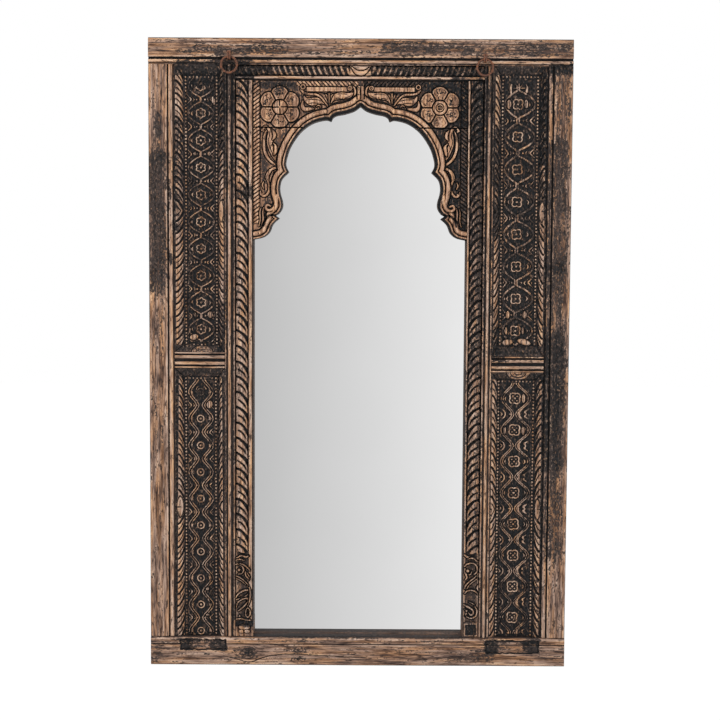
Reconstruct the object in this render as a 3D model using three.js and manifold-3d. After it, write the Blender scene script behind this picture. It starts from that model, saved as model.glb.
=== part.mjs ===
// A wall mirror in an old carved balcony-window surround: a cusped arch over a tall glass,
// carved panels on both sides, twisted-leaf jambs, and two iron rings on the top rail.
// Millimetres. Every piece is drawn lying on its back, x across, y up the frame and z out of
// the wall, and the whole group is then stood upright with its back to the wall.
import * as THREE from "three";
import { mergeVertices } from "three/addons/utils/BufferGeometryUtils.js";
import Module from "manifold-3d";

const wasm = await Module();
wasm.setup();

// Overall size and the depth of the stack, from the wall outwards
const frameWidth = 900;
const frameHeight = 1350;
const battenThickness = 16;
const timberThickness = 56;
const jointGap = 0.3;
const weldTolerance = 1e-3;
const cutOverrun = 5;

// Widths: the opening takes what the pieces on its left leave of the half frame, and the right
// panel takes what is left on its side
const stileWidth = 54;
const leftPanelWidth = 107;
const ribStripWidthLeft = 23;
const ribStripWidthRight = 21.5;
const jambWidthLeft = 38;
const jambWidthRight = 34.5;

// Heights
const bottomRailHeight = 63;
const topRailHeight = 56;
const lintelHeight = 32;
const plinthHeight = 34;
const archBoardHeight = 99;
const archRise = 285;
const archCrownCover = 53;
const midRailHeight = 34;
const midRailLevelShares = { left: 0.476, right: 0.471 };

// Fronts of the carved pieces, counted back from the front of the rails and stiles
const panelRimSetback = 4;
const panelFieldDepth = 8;
const panelRimWidth = 1.5;
const panelSlopeWidth = 15;
const jambProud = 2;
const jambFilletSetback = 8;
const jambFilletWidth = 6;
const jambOuterFilletWidth = 3;
const archFieldSetback = 8;
const archRibSetback = 2;
const archRibWidth = 11;
const grooveDepth = 6;

// Glass, its backing board and the strips that hold them in the rebate
const glassThickness = 4;
const backingThickness = 6;
const stopThickness = 6;
const stopWidth = 12;
const rebateWidth = 10;

// Battens across the back, and their screws
const battenHeight = 60;
const battenInset = 12;
const battenBelowTopRail = 34;
const battenAboveBottomRail = 27;
const screwShankRadius = 2;
const screwHeadRadius = 4;
const screwHeadDepth = 3;
const screwBite = 24;
const screwSlotWidth = 1;
const screwSlotDepth = 1;
const screwClearance = 0.3;

// Stub tenons of the stiles
const tenonLength = 22;
const tenonWidth = 30;
const tenonThickness = 12;

// Iron rings on the top rail, and the staples that carry them
const ringOuterRadius = 19.6;
const ringWireRadius = 2.75;
const ringStandoff = 0.8;
const leftRingPastJamb = 12.5;
const leftRingAxisDrop = 40;
const rightRingAxisDrop = 43.5;
const stapleWidth = 9;
const stapleThickness = 3;
const stapleEyeGap = 0.8;
const stapleSeatGap = 0.85;
const stapleHeight = 19;
const stapleLegDepth = 20;

// Hangers on the backs of the stiles
const hangerDrop = 190;
const hangerPlateWidth = 16;
const hangerPlateLength = 48;
const hangerPlateThickness = 2;
const hangerEyeRadius = 3.4;
const hangerEyeWidth = 13;
const hangerWireRadius = 1.75;
const hangerBoreClearance = 0.35;
const hangerRingRadius = 12;
const hangerRingStandoff = 0.75;
const hangerScrewSpacing = 16;
const hangerFirstScrewDrop = 23;
const hangerScrewBite = 14;
const panHeadHeight = 1.6;
const panHeadTaperShare = 0.7;

// Carved ornament that stands on the panels and the arch
const rosetteHeight = 4;
const rosetteTaperShare = 0.7;
const leftRosetteInset = 49.4;
const rightRosetteInset = 49.9;
const rightRosetteRadius = 12;
const upperLeftRosetteRadius = 10;
const lowerLeftRosetteRadius = 8.5;
const upperLeftRosetteDrop = 44.4;
const upperRightRosetteDrop = 79.5;
const lowerLeftRosetteDrop = 52;
const lowerRightRosetteDrop = 56.4;
const upperLeftRosettePitch = 57.5;
const upperRightRosettePitch = 68.9;
const lowerLeftRosettePitch = 58.2;
const lowerRightRosettePitch = 68.6;
const panelOrnament = {
  upper_left: {
    firstDrop: upperLeftRosetteDrop,
    pitch: upperLeftRosettePitch,
    radius: upperLeftRosetteRadius,
    inset: leftRosetteInset,
  },
  upper_right: {
    firstDrop: upperRightRosetteDrop,
    pitch: upperRightRosettePitch,
    radius: rightRosetteRadius,
    inset: rightRosetteInset,
  },
  lower_left: {
    firstDrop: lowerLeftRosetteDrop,
    pitch: lowerLeftRosettePitch,
    radius: lowerLeftRosetteRadius,
    inset: leftRosetteInset,
  },
  lower_right: {
    firstDrop: lowerRightRosetteDrop,
    pitch: lowerRightRosettePitch,
    radius: rightRosetteRadius,
    inset: rightRosetteInset,
  },
};
const flowerInset = 57.5;
const flowerDrop = 54.3;
const flowerRingRadius = 31;
const flowerPetalRadius = 14.4;
const flowerHeight = 4;
const flowerPetalAngles = [30, 90, 150, 210, 270, 330];
const ropePitch = 18.5;
const ropeGrooveWidth = 4;
const ropeGrooveDepth = 4;
const ropeSlopeDegrees = 38;
const jambMotifHeight = 150;

// Half of the arch's edge from the crown to the springing, foil by foil, as shares of the
// half opening and of the rise
const crownFoilShares = [[0, 1], [0.057, 0.967], [0.143, 0.944], [0.215, 0.933], [0.274, 0.894]];
const shoulderFoilShares = [
  [0.274, 0.894],
  [0.33, 0.896],
  [0.45, 0.872],
  [0.56, 0.808],
  [0.65, 0.706],
  [0.69, 0.586],
  [0.672, 0.512],
];
const waistFoilShares = [
  [0.672, 0.512],
  [0.737, 0.447],
  [0.754, 0.375],
  [0.735, 0.315],
  [0.726, 0.25],
  [0.738, 0.21],
  [0.767, 0.165],
];
const footFoilShares = [[0.767, 0.165], [0.81, 0.135], [0.845, 0.085], [0.88, 0.028], [0.93, 0.003], [1, 0]];
const archFoilShares = [crownFoilShares, shoulderFoilShares, waistFoilShares, footFoilShares];
const foilSteps = 9;
const beadSteps = 6;
const roundSides = 12;
const screwSides = 8;
const wireSides = 8;
const ringSteps = 24;

// Levels and lines that follow from the sizes above
const back = battenThickness;
const front = battenThickness + timberThickness;
const railTop = frameHeight - topRailHeight;
const stileInner = frameWidth / 2 - stileWidth;
const openingHalf = stileInner - leftPanelWidth - ribStripWidthLeft - jambWidthLeft;
const ribStripWidths = { left: ribStripWidthLeft, right: ribStripWidthRight };
const jambWidths = { left: jambWidthLeft, right: jambWidthRight };
const jambOuter = { left: openingHalf + jambWidths.left, right: openingHalf + jambWidths.right };
const panelInner = {
  left: jambOuter.left + ribStripWidths.left,
  right: jambOuter.right + ribStripWidths.right,
};
const panelRun = railTop - bottomRailHeight;
const midRailLevels = {
  left: bottomRailHeight + midRailLevelShares.left * panelRun,
  right: bottomRailHeight + midRailLevelShares.right * panelRun,
};
const lintelBase = railTop - lintelHeight;
const archBase = lintelBase - archCrownCover - archRise;
const archSeam = lintelBase - archBoardHeight;
const stopFront = back + stopThickness;
const boardFront = stopFront + jointGap + backingThickness;
const glassFront = boardFront + jointGap + glassThickness;
const rebateFront = glassFront + jointGap;
const rebateHalf = openingHalf + rebateWidth;
const rebateTop = lintelBase + rebateWidth;
const rebateFoot = bottomRailHeight - rebateWidth;
const ringAxisRadius = ringOuterRadius - ringWireRadius;
const ringAxisOut = front + jambProud + ringStandoff + ringWireRadius;
const ringPlaces = {
  left: -jambOuter.left - leftRingPastJamb,
  right: jambOuter.right,
};
const ringAxisDrops = { left: leftRingAxisDrop, right: rightRingAxisDrop };
const stapleFoot = -ringWireRadius - stapleSeatGap - stapleThickness;
const stapleHead = stapleFoot + stapleHeight;

const group = new THREE.Group();
group.rotation.x = Math.PI / 2;
group.position.z = -frameHeight / 2;

const wood = () => new THREE.MeshStandardMaterial({ color: 0x6f5b4e, roughness: 0.8, metalness: 0 });
const darkWood = () => new THREE.MeshStandardMaterial({ color: 0x473e39, roughness: 0.8, metalness: 0 });
const paleWood = () => new THREE.MeshStandardMaterial({ color: 0xa88a68, roughness: 0.85, metalness: 0 });
const silvered = () => new THREE.MeshStandardMaterial({ color: 0xd4d6d6, roughness: 0.03, metalness: 1 });
const rustyIron = () => new THREE.MeshStandardMaterial({ color: 0x5a4840, roughness: 0.7, metalness: 0.6 });
const zincSteel = () => new THREE.MeshStandardMaterial({ color: 0xa9abac, roughness: 0.4, metalness: 1 });

// A closed geometry as a solid, and a solid back as a geometry
function solid(geometry) {
  const bare = geometry.clone();
  bare.deleteAttribute("normal");
  bare.deleteAttribute("uv");
  const merged = mergeVertices(bare, weldTolerance);
  return new wasm.Manifold(
    new wasm.Mesh({
      numProp: 3,
      vertProperties: merged.attributes.position.array,
      triVerts: new Uint32Array(merged.index.array),
    }),
  );
}

function shell(body) {
  const mesh = body.getMesh();
  const geometry = new THREE.BufferGeometry();
  geometry.setAttribute("position", new THREE.BufferAttribute(mesh.vertProperties, 3));
  geometry.setIndex(new THREE.BufferAttribute(mesh.triVerts, 1));
  const flat = geometry.toNonIndexed();
  flat.computeVertexNormals();
  return flat;
}

function place(name, body, material, x = 0, y = 0, z = 0) {
  const mesh = new THREE.Mesh(shell(body), material);
  mesh.name = name;
  mesh.position.set(x, y, z);
  group.add(mesh);
}

// A block between two corners
function block(x0, y0, z0, x1, y1, z1) {
  const box = new THREE.BoxGeometry(x1 - x0, y1 - y0, z1 - z0);
  box.translate((x0 + x1) / 2, (y0 + y1) / 2, (z0 + z1) / 2);
  return solid(box);
}

function plate(points, z0, z1) {
  const outline = new THREE.Shape(points.map(([x, y]) => new THREE.Vector2(x, y)));
  const geometry = new THREE.ExtrudeGeometry(outline, { depth: z1 - z0, bevelEnabled: false });
  geometry.translate(0, 0, z0);
  return solid(geometry);
}

// A moulding that runs up the frame: its section is given as points of [x, z]
function uprightMoulding(points, y0, y1) {
  const outline = new THREE.Shape(points.map(([x, z]) => new THREE.Vector2(x, -z)));
  const geometry = new THREE.ExtrudeGeometry(outline, { depth: y1 - y0, bevelEnabled: false });
  geometry.rotateX(-Math.PI / 2);
  geometry.translate(0, y0, 0);
  return solid(geometry);
}

// A moulding that runs across the frame: its section is given as points of [y, z]
function levelMoulding(points, x0, x1) {
  const outline = new THREE.Shape(points.map(([y, z]) => new THREE.Vector2(-z, y)));
  const geometry = new THREE.ExtrudeGeometry(outline, { depth: x1 - x0, bevelEnabled: false });
  geometry.rotateY(Math.PI / 2);
  geometry.translate(x0, 0, 0);
  return solid(geometry);
}

function roundBar(radius, z0, z1, topRadius = radius, roundness = screwSides) {
  const bar = new THREE.CylinderGeometry(topRadius, radius, z1 - z0, roundness);
  bar.rotateX(Math.PI / 2);
  bar.translate(0, 0, (z0 + z1) / 2);
  return solid(bar);
}

// The points of a half-round bead between two places of a section, with its crest at a height
function bead(from, to, base, crest) {
  const points = [];
  for (let i = 0; i <= beadSteps; i += 1) {
    const turn = (Math.PI * i) / beadSteps;
    const across = (from + to) / 2 - ((to - from) / 2) * Math.cos(turn);
    points.push([across, base + (crest - base) * Math.sin(turn)]);
  }
  return points;
}

function mirrored(points) {
  return points.map(([x, z]) => [-x, z]).reverse();
}

const sideOf = { left: -1, right: 1 };
const sides = Object.keys(sideOf);

// Screw holes and the screws through a batten, drawn at the origin with the head at z 0
function screwHole(bite) {
  const shaft = roundBar(screwShankRadius + screwClearance, -cutOverrun, bite + screwClearance);
  const sink = roundBar(
    screwHeadRadius + screwClearance,
    0,
    screwHeadDepth + screwClearance,
    screwShankRadius + screwClearance,
  );
  const mouth = roundBar(screwHeadRadius + screwClearance, -cutOverrun, 0);
  return shaft.add(sink).add(mouth);
}

function screw(length) {
  const head = roundBar(screwHeadRadius, 0, screwHeadDepth, screwShankRadius);
  const shank = roundBar(screwShankRadius, 0, length, screwShankRadius);
  const half = screwHeadRadius + cutOverrun;
  const slot = block(-half, -screwSlotWidth / 2, -cutOverrun, half, screwSlotWidth / 2, screwSlotDepth);
  return head.add(shank).subtract(slot);
}

const battenScrewLength = battenThickness + screwBite;
const battenLevels = {
  top: railTop - battenBelowTopRail,
  middle: frameHeight / 2,
  bottom: bottomRailHeight + battenAboveBottomRail,
};
const screwLines = {
  outer_left: -(stileInner + stileWidth / 2),
  inner_left: -(jambOuter.left - jambWidths.left / 3),
  inner_right: jambOuter.right - jambWidths.right / 3,
  outer_right: stileInner + stileWidth / 2,
};

// Cuts every batten screw's hole out of a piece
function drilled(body) {
  let cut = body;
  for (const level of Object.values(battenLevels)) {
    for (const line of Object.values(screwLines)) {
      cut = cut.subtract(screwHole(battenScrewLength).translate([line, level, 0]));
    }
  }
  return cut;
}

// Stiles: a plain plank with a bead on its inner edge, and a stub tenon at each end
const stileFilletWidth = 2;
const stileGrooveWidth = 2;
const stileBeadWidth = 7.5;
const stileBeadSetback = 1;
const stileFilletSetback = 4;

function stileSection() {
  const filletEnd = stileInner + stileFilletWidth;
  const beadStart = filletEnd + stileGrooveWidth;
  const beadEnd = beadStart + stileBeadWidth;
  const plankStart = beadEnd + stileGrooveWidth;
  return [
    [stileInner, back],
    [stileInner, front - stileFilletSetback],
    [filletEnd, front - stileFilletSetback],
    [filletEnd, front - grooveDepth],
    ...bead(beadStart, beadEnd, front - grooveDepth, front - stileBeadSetback),
    [plankStart, front - grooveDepth],
    [plankStart, front],
    [frameWidth / 2, front],
    [frameWidth / 2, back],
  ];
}

const stileFoot = bottomRailHeight + jointGap;
const stileHead = railTop - jointGap;
const tenonCentre = stileInner + stileWidth / 2;
const tenonBack = back + (timberThickness - tenonThickness) / 2;

function tenon(side, clearance) {
  const centre = sideOf[side] * tenonCentre;
  const half = tenonWidth / 2 + clearance;
  return block(
    centre - half,
    stileFoot - tenonLength - clearance,
    tenonBack - clearance,
    centre + half,
    stileHead + tenonLength + clearance,
    tenonBack + tenonThickness + clearance,
  );
}

for (const side of sides) {
  const section = side === "right" ? stileSection() : mirrored(stileSection());
  const stile = uprightMoulding(section, stileFoot, stileHead).add(tenon(side, 0));
  const rise = frameHeight - hangerDrop;
  let cut = drilled(stile);
  for (const drop of [hangerFirstScrewDrop, hangerFirstScrewDrop + hangerScrewSpacing]) {
    const hole = roundBar(
      screwShankRadius + screwClearance,
      back - cutOverrun,
      back + hangerScrewBite + screwClearance,
    );
    cut = cut.subtract(hole.translate([sideOf[side] * tenonCentre, rise - drop, 0]));
  }
  place("outer_stile_" + side, cut, wood());
}

// Top rail: a flat face over a bead, laid across the heads of the stiles
const topBandHeight = 12;
const topBandSetback = 1;
const railBeadStart = 3;
const railBeadHeight = 7;
const railGrooveHeight = 4;

function topRailSection() {
  const beadStart = railTop + railBeadStart;
  const beadEnd = beadStart + railBeadHeight;
  const faceStart = beadEnd + railGrooveHeight;
  const bandStart = frameHeight - topBandHeight;
  return [
    [railTop, back],
    [railTop, front - stileFilletSetback],
    [beadStart, front - stileFilletSetback],
    ...bead(beadStart, beadEnd, front - grooveDepth, front - topBandSetback),
    [faceStart, front - grooveDepth],
    [faceStart, front],
    [bandStart, front],
    [bandStart, front - topBandSetback],
    [frameHeight, front - topBandSetback],
    [frameHeight, back],
  ];
}

function ringAxis(side) {
  return frameHeight - ringAxisDrops[side];
}

// The staple is a flat strap bent to a U, its legs one above the other in the rail
function stapleBody(clearance) {
  const eyeInner = ringAxisOut + ringWireRadius + stapleEyeGap;
  const crown = eyeInner + stapleThickness + clearance;
  const half = stapleWidth / 2 + clearance;
  const outer = block(
    -half,
    stapleFoot - clearance,
    front - stapleLegDepth - clearance,
    half,
    stapleHead + clearance,
    crown,
  );
  const inner = block(
    -half - cutOverrun,
    stapleFoot + stapleThickness + clearance,
    front - stapleLegDepth - clearance - cutOverrun,
    half + cutOverrun,
    stapleHead - stapleThickness - clearance,
    eyeInner - clearance,
  );
  return outer.subtract(inner);
}

let topRail = levelMoulding(topRailSection(), -frameWidth / 2, frameWidth / 2);
for (const side of sides) {
  topRail = topRail.subtract(tenon(side, jointGap));
  topRail = topRail.subtract(stapleBody(jointGap).translate([ringPlaces[side], ringAxis(side), 0]));
}
place("top_rail", topRail, wood());

for (const side of sides) {
  place("ring_staple_" + side, stapleBody(0), rustyIron(), ringPlaces[side], ringAxis(side));
  const ring = new THREE.TorusGeometry(ringAxisRadius, ringWireRadius, wireSides, ringSteps);
  ring.translate(0, -ringAxisRadius, 0);
  place("iron_ring_" + side, solid(ring), rustyIron(), ringPlaces[side], ringAxis(side), ringAxisOut);
}

// Bottom rail: a plank with a rounded upper lip, a long groove and two shallow old housings
const lipHeight = 15;
const lipRound = 5;
const sillGrooveHeight = 3;
const sillGrooveDepth = 3;
const housingDepth = 2;
const housings = {
  left: { fromEdge: 64, width: 98, drop: 7, height: 23 },
  right: { fromEdge: 56, width: 116, drop: 6, height: 30 },
};

function bottomRailSection() {
  const lipStart = bottomRailHeight - lipHeight;
  return [
    [0, back],
    [0, front],
    [lipStart - sillGrooveHeight, front],
    [lipStart - sillGrooveHeight, front - sillGrooveDepth],
    [lipStart, front - sillGrooveDepth],
    [lipStart, front],
    [bottomRailHeight - lipRound, front],
    [bottomRailHeight, front - lipRound],
    [bottomRailHeight, rebateFront],
    [rebateFoot - jointGap, rebateFront],
    [rebateFoot - jointGap, back],
  ];
}

let bottomRail = levelMoulding(bottomRailSection(), -frameWidth / 2, frameWidth / 2);
for (const side of sides) {
  const wall = sideOf[side] * (rebateHalf + jointGap);
  const edge = (sideOf[side] * frameWidth) / 2;
  const cheek = block(
    Math.min(wall, edge),
    rebateFoot - jointGap - cutOverrun,
    back,
    Math.max(wall, edge),
    bottomRailHeight,
    front - lipRound,
  );
  bottomRail = bottomRail.add(cheek).subtract(tenon(side, jointGap));
  const { fromEdge, width, drop, height } = housings[side];
  const x0 = side === "right" ? edge - fromEdge - width : edge + fromEdge;
  const head = bottomRailHeight - drop;
  const housing = block(
    x0,
    head - height,
    front - housingDepth,
    x0 + width,
    head,
    front + cutOverrun,
  );
  bottomRail = bottomRail.subtract(housing);
}
place("bottom_rail", bottomRail, wood());

// Rib strips between the panels and the jambs
const stripFilletWidth = 3;
const stripInset = 1.5;
const stripGrooveWidth = 3;
const stripRibWidth = 8.5;
const stripOuterFilletWidth = 2.5;

function ribStripSection(side) {
  const inner = jambOuter[side] + jointGap;
  const outer = panelInner[side] - jointGap;
  const filletStart = inner + stripInset;
  const filletEnd = filletStart + stripFilletWidth;
  const ribStart = filletEnd + stripGrooveWidth;
  const ribEnd = ribStart + stripRibWidth;
  const outerStart = outer - stripOuterFilletWidth;
  return [
    [inner, back],
    [inner, front - grooveDepth],
    [filletStart, front - grooveDepth],
    [filletStart, front - stileFilletSetback],
    [filletEnd, front - stileFilletSetback],
    [filletEnd, front - grooveDepth],
    ...bead(ribStart, ribEnd, front - grooveDepth, front),
    [outerStart, front - grooveDepth],
    [outerStart, front - stileFilletSetback],
    [outer, front - stileFilletSetback],
    [outer, back],
  ];
}

for (const side of sides) {
  const section = side === "right" ? ribStripSection(side) : mirrored(ribStripSection(side));
  place("rib_strip_" + side, uprightMoulding(section, stileFoot, stileHead), wood());
}

// Carved panels: boards sunk like a tray, with mitred slopes, and a row of rosettes
function trayCut(x0, y0, x1, y1, slopeFoot) {
  const rim = front - panelRimSetback;
  const field = rim - panelFieldDepth;
  const reach = panelSlopeWidth / panelFieldDepth;
  const lift = cutOverrun;
  const low = [x0 + panelSlopeWidth, slopeFoot ? y0 + panelSlopeWidth : y0, x1 - panelSlopeWidth];
  const high = [x0 - reach * lift, slopeFoot ? y0 - reach * lift : y0, x1 + reach * lift];
  const corners = [
    [low[0], low[1], field],
    [low[2], low[1], field],
    [low[2], y1 - panelSlopeWidth, field],
    [low[0], y1 - panelSlopeWidth, field],
    [high[0], high[1], rim + lift],
    [high[2], high[1], rim + lift],
    [high[2], y1 + reach * lift, rim + lift],
    [high[0], y1 + reach * lift, rim + lift],
  ];
  const faces = [0, 2, 1, 0, 3, 2, 4, 5, 6, 4, 6, 7, 0, 1, 5, 0, 5, 4];
  faces.push(1, 2, 6, 1, 6, 5, 2, 3, 7, 2, 7, 6, 3, 0, 4, 3, 4, 7);
  const geometry = new THREE.BufferGeometry();
  geometry.setAttribute("position", new THREE.Float32BufferAttribute(corners.flat(), 3));
  geometry.setIndex(faces);
  return solid(geometry);
}

function carvedPanel(side, level, foot, head) {
  const x0 = side === "right" ? panelInner.right : -stileInner + jointGap;
  const x1 = side === "right" ? stileInner - jointGap : -panelInner.left;
  const ornament = panelOrnament[level + "_" + side];
  const field = front - panelRimSetback - panelFieldDepth;
  let board = block(x0, foot, back, x1, head, front - panelRimSetback);
  const hasFootSlope = level === "upper";
  const cutFoot = hasFootSlope ? foot + panelRimWidth : foot - cutOverrun;
  board = board.subtract(
    trayCut(x0 + panelRimWidth, cutFoot, x1 - panelRimWidth, head - panelRimWidth, hasFootSlope),
  );
  const centre = sideOf[side] * (panelInner[side] + ornament.inset);
  const run = head - foot - ornament.firstDrop - ornament.radius;
  const count = Math.floor(run / ornament.pitch) + 1;
  for (let i = 0; i < count; i += 1) {
    const boss = roundBar(
      ornament.radius,
      field - rosetteHeight,
      field + rosetteHeight,
      ornament.radius * rosetteTaperShare,
      roundSides,
    );
    board = board.add(boss.translate([centre, head - ornament.firstDrop - i * ornament.pitch, 0]));
  }
  return board;
}

for (const side of sides) {
  const railFoot = midRailLevels[side];
  const upper = carvedPanel(side, "upper", railFoot + midRailHeight + jointGap, stileHead);
  const lower = carvedPanel(side, "lower", stileFoot, railFoot - jointGap);
  place("upper_panel_" + side, upper, darkWood());
  place("lower_panel_" + side, lower, wood());
}

// Mid rails: two ribs side by side between the upper and the lower panel
const midRibHeight = 11;
const midRibInset = 3;
const midRailValleyDepth = 8;

function midRailSection(foot) {
  const head = foot + midRailHeight;
  const valley = front - midRailValleyDepth;
  return [
    [foot, back],
    [foot, valley],
    ...bead(foot + midRibInset, foot + midRibInset + midRibHeight, valley, front - topBandSetback),
    ...bead(head - midRibInset - midRibHeight, head - midRibInset, valley, front - topBandSetback),
    [head, valley],
    [head, back],
  ];
}

for (const side of sides) {
  const x0 = side === "right" ? panelInner.right : -stileInner + jointGap;
  const x1 = side === "right" ? stileInner - jointGap : -panelInner.left;
  place("mid_rail_" + side, levelMoulding(midRailSection(midRailLevels[side]), x0, x1), wood());
}

// Plinth blocks under the jambs: a raised bracket on the left one, a sunk square on the right one
const plinthTop = bottomRailHeight + plinthHeight;
const plinthOrnamentWidth = 22;
const plinthOrnamentHeight = 16;
const plinthOrnamentDepth = 2;

for (const side of sides) {
  const near = openingHalf;
  const far = jambOuter[side];
  const x0 = side === "right" ? near : -far;
  const x1 = side === "right" ? far : -near;
  const centre = (x0 + x1) / 2;
  const middle = (stileFoot + plinthTop) / 2;
  const face = front - topBandSetback;
  let plinth = block(x0, stileFoot, back, x1, plinthTop - jointGap, face);
  const mark = block(
    centre - plinthOrnamentWidth / 2,
    middle - plinthOrnamentHeight / 2,
    face - plinthOrnamentDepth,
    centre + plinthOrnamentWidth / 2,
    middle + plinthOrnamentHeight / 2,
    side === "right" ? face + cutOverrun : face + plinthOrnamentDepth,
  );
  plinth = side === "right" ? plinth.subtract(mark) : plinth.add(mark);
  const wall = sideOf[side] * (rebateHalf + jointGap);
  const inside = sideOf[side] * (near - cutOverrun);
  const rebate = block(
    Math.min(wall, inside),
    0,
    back - cutOverrun,
    Math.max(wall, inside),
    plinthTop,
    rebateFront,
  );
  place("plinth_block_" + side, drilled(plinth.subtract(rebate)), wood());
}

// Rope jambs: half-round leaf-twist mouldings with a fillet at the opening and a rebate behind
const ropeStart = openingHalf + jambFilletWidth;
const ropeCrest = front + jambProud;
const ropeBase = front - jambFilletSetback;

function ropeEnd(side) {
  return jambOuter[side] - jambOuterFilletWidth;
}

function jambSection(side) {
  return [
    [openingHalf, rebateFront],
    [openingHalf, ropeBase],
    ...bead(ropeStart, ropeEnd(side), ropeBase, ropeCrest),
    [jambOuter[side], ropeBase],
    [jambOuter[side], back],
    [rebateHalf + jointGap, back],
    [rebateHalf + jointGap, rebateFront],
  ];
}

// A V-shaped groove across a rope moulding that lies along y, centred at the origin
function ropeGroove(width, crest) {
  const half = ropeGrooveWidth / 2;
  const section = [
    [-half, crest + ropeGrooveDepth],
    [0, crest - ropeGrooveDepth],
    [half, crest + ropeGrooveDepth],
  ];
  return levelMoulding(section, -width, width);
}

for (const side of sides) {
  const section = side === "right" ? jambSection(side) : mirrored(jambSection(side));
  let jamb = uprightMoulding(section, plinthTop, lintelBase - jointGap);
  const centre = (sideOf[side] * (ropeStart + ropeEnd(side))) / 2;
  const ropeFoot = plinthTop + jambMotifHeight;
  const slope = sideOf[side] * ropeSlopeDegrees;
  for (let y = ropeFoot; y < lintelBase - ropePitch / 2; y += ropePitch) {
    const groove = ropeGroove(ropeEnd(side) - ropeStart, ropeCrest);
    jamb = jamb.subtract(groove.rotate([0, 0, slope]).translate([centre, y, 0]));
  }
  place("rope_jamb_" + side, drilled(jamb), wood());
}

// Lintel: the same rope laid across, with a light fillet under it and the glass rebate behind
const lintelFilletHeight = 5;
const lintelInset = 2;

function lintelSection() {
  const filletStart = lintelBase + lintelInset;
  const filletEnd = filletStart + lintelFilletHeight;
  return [
    [lintelBase, back],
    [lintelBase, ropeBase],
    [filletStart, ropeBase],
    [filletStart, ropeBase + jambProud],
    [filletEnd, ropeBase + jambProud],
    ...bead(filletEnd, stileHead - lintelInset, ropeBase, ropeCrest),
    [stileHead, ropeBase],
    [stileHead, back],
  ];
}

let lintel = levelMoulding(lintelSection(), -jambOuter.left, jambOuter.right);
lintel = lintel.subtract(
  block(
    -rebateHalf - jointGap,
    lintelBase - cutOverrun,
    back - cutOverrun,
    rebateHalf + jointGap,
    rebateTop + jointGap,
    rebateFront,
  ),
);
const lintelRopeMiddle = (lintelBase + lintelInset + lintelFilletHeight + stileHead - lintelInset) / 2;
const lintelRopeCount = Math.floor(jambOuter.left / ropePitch);
for (let i = -lintelRopeCount; i <= lintelRopeCount; i += 1) {
  const groove = ropeGroove(lintelHeight, ropeCrest).rotate([0, 0, 90 + ropeSlopeDegrees]);
  lintel = lintel.subtract(groove.translate([i * ropePitch, lintelRopeMiddle, 0]));
}
place("rope_lintel", drilled(lintel), wood());

// Arch: a head board and two brackets cut to one cusped edge, with a rib along that edge
function archEdge() {
  const points = [];
  for (const foil of archFoilShares) {
    const spline = new THREE.SplineCurve(
      foil.map(([x, y]) => new THREE.Vector2(x * openingHalf, archBase + y * archRise)),
    );
    const steps = spline.getPoints(foilSteps);
    points.push(...(points.length ? steps.slice(1) : steps));
  }
  return points.map(({ x, y }) => [x, y]);
}

const edge = archEdge();
const seamIndex = edge.findIndex(([, y]) => y < archSeam);
const [beforeSeam, afterSeam] = [edge[seamIndex - 1], edge[seamIndex]];
const seamShare = (beforeSeam[1] - archSeam) / (beforeSeam[1] - afterSeam[1]);
const seamAcross = beforeSeam[0] + (afterSeam[0] - beforeSeam[0]) * seamShare;
const archSide = openingHalf - jointGap;
const archField = front - archFieldSetback;
const archRibTop = front - archRibSetback;

function ribAlong(points) {
  let rib;
  points.slice(1).forEach(([x, y], i) => {
    const [px, py] = points[i];
    const length = Math.hypot(x - px, y - py);
    const bar = block(0, -archRibWidth, archField - cutOverrun, length, archRibWidth, archRibTop);
    const turned = bar.rotate([0, 0, THREE.MathUtils.radToDeg(Math.atan2(y - py, x - px))]);
    const end = roundBar(archRibWidth, archField - cutOverrun, archRibTop, archRibWidth, roundSides);
    const piece = turned.translate([px, py, 0]).add(end.translate([x, y, 0]));
    rib = rib ? rib.add(piece) : piece;
  });
  return rib;
}

function archPiece(outline) {
  const base = plate(outline, rebateFront, archField);
  const high = plate(outline, archField - cutOverrun, archRibTop);
  return base.add(high.intersect(archRib));
}

const leftEdge = edge.map(([x, y]) => [-x, y]).reverse();
const archRib = ribAlong([...leftEdge, ...edge.slice(1)]);
const upperEdge = [...edge.slice(0, seamIndex), [seamAcross, archSeam]];
const lowerEdge = [[seamAcross, archSeam - jointGap], ...edge.slice(seamIndex)];
const bracketFoot = lowerEdge.filter(([x]) => x < archSide);

const headOutline = [
  [archSide, lintelBase - jointGap],
  [-archSide, lintelBase - jointGap],
  [-archSide, archSeam],
  ...upperEdge.map(([x, y]) => [-x, y]).reverse(),
  ...upperEdge.slice(1),
  [archSide, archSeam],
];

function flower(x, y) {
  const disc = roundBar(
    flowerPetalRadius,
    archField - flowerHeight,
    archField + flowerHeight,
    flowerPetalRadius,
    roundSides,
  );
  let bloom = disc;
  for (const angle of flowerPetalAngles) {
    const turn = THREE.MathUtils.degToRad(angle);
    const across = flowerRingRadius * Math.cos(turn);
    const up = flowerRingRadius * Math.sin(turn);
    bloom = bloom.add(disc.translate([across, up, 0]));
  }
  return bloom.translate([x, y, 0]);
}

let archHead = archPiece(headOutline);
const headLimit = plate(headOutline, archField - flowerHeight, archRibTop);
for (const side of sides) {
  const bloom = flower(sideOf[side] * (openingHalf - flowerInset), lintelBase - flowerDrop);
  archHead = archHead.add(bloom.intersect(headLimit));
}
place("arch_head", archHead, wood());

const bracketOutline = [...bracketFoot, [archSide, archBase], [archSide, archSeam - jointGap]];
for (const side of sides) {
  const outline = bracketOutline.map(([x, y]) => [sideOf[side] * x, y]);
  place("arch_bracket_" + side, archPiece(outline), wood());
}

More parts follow.
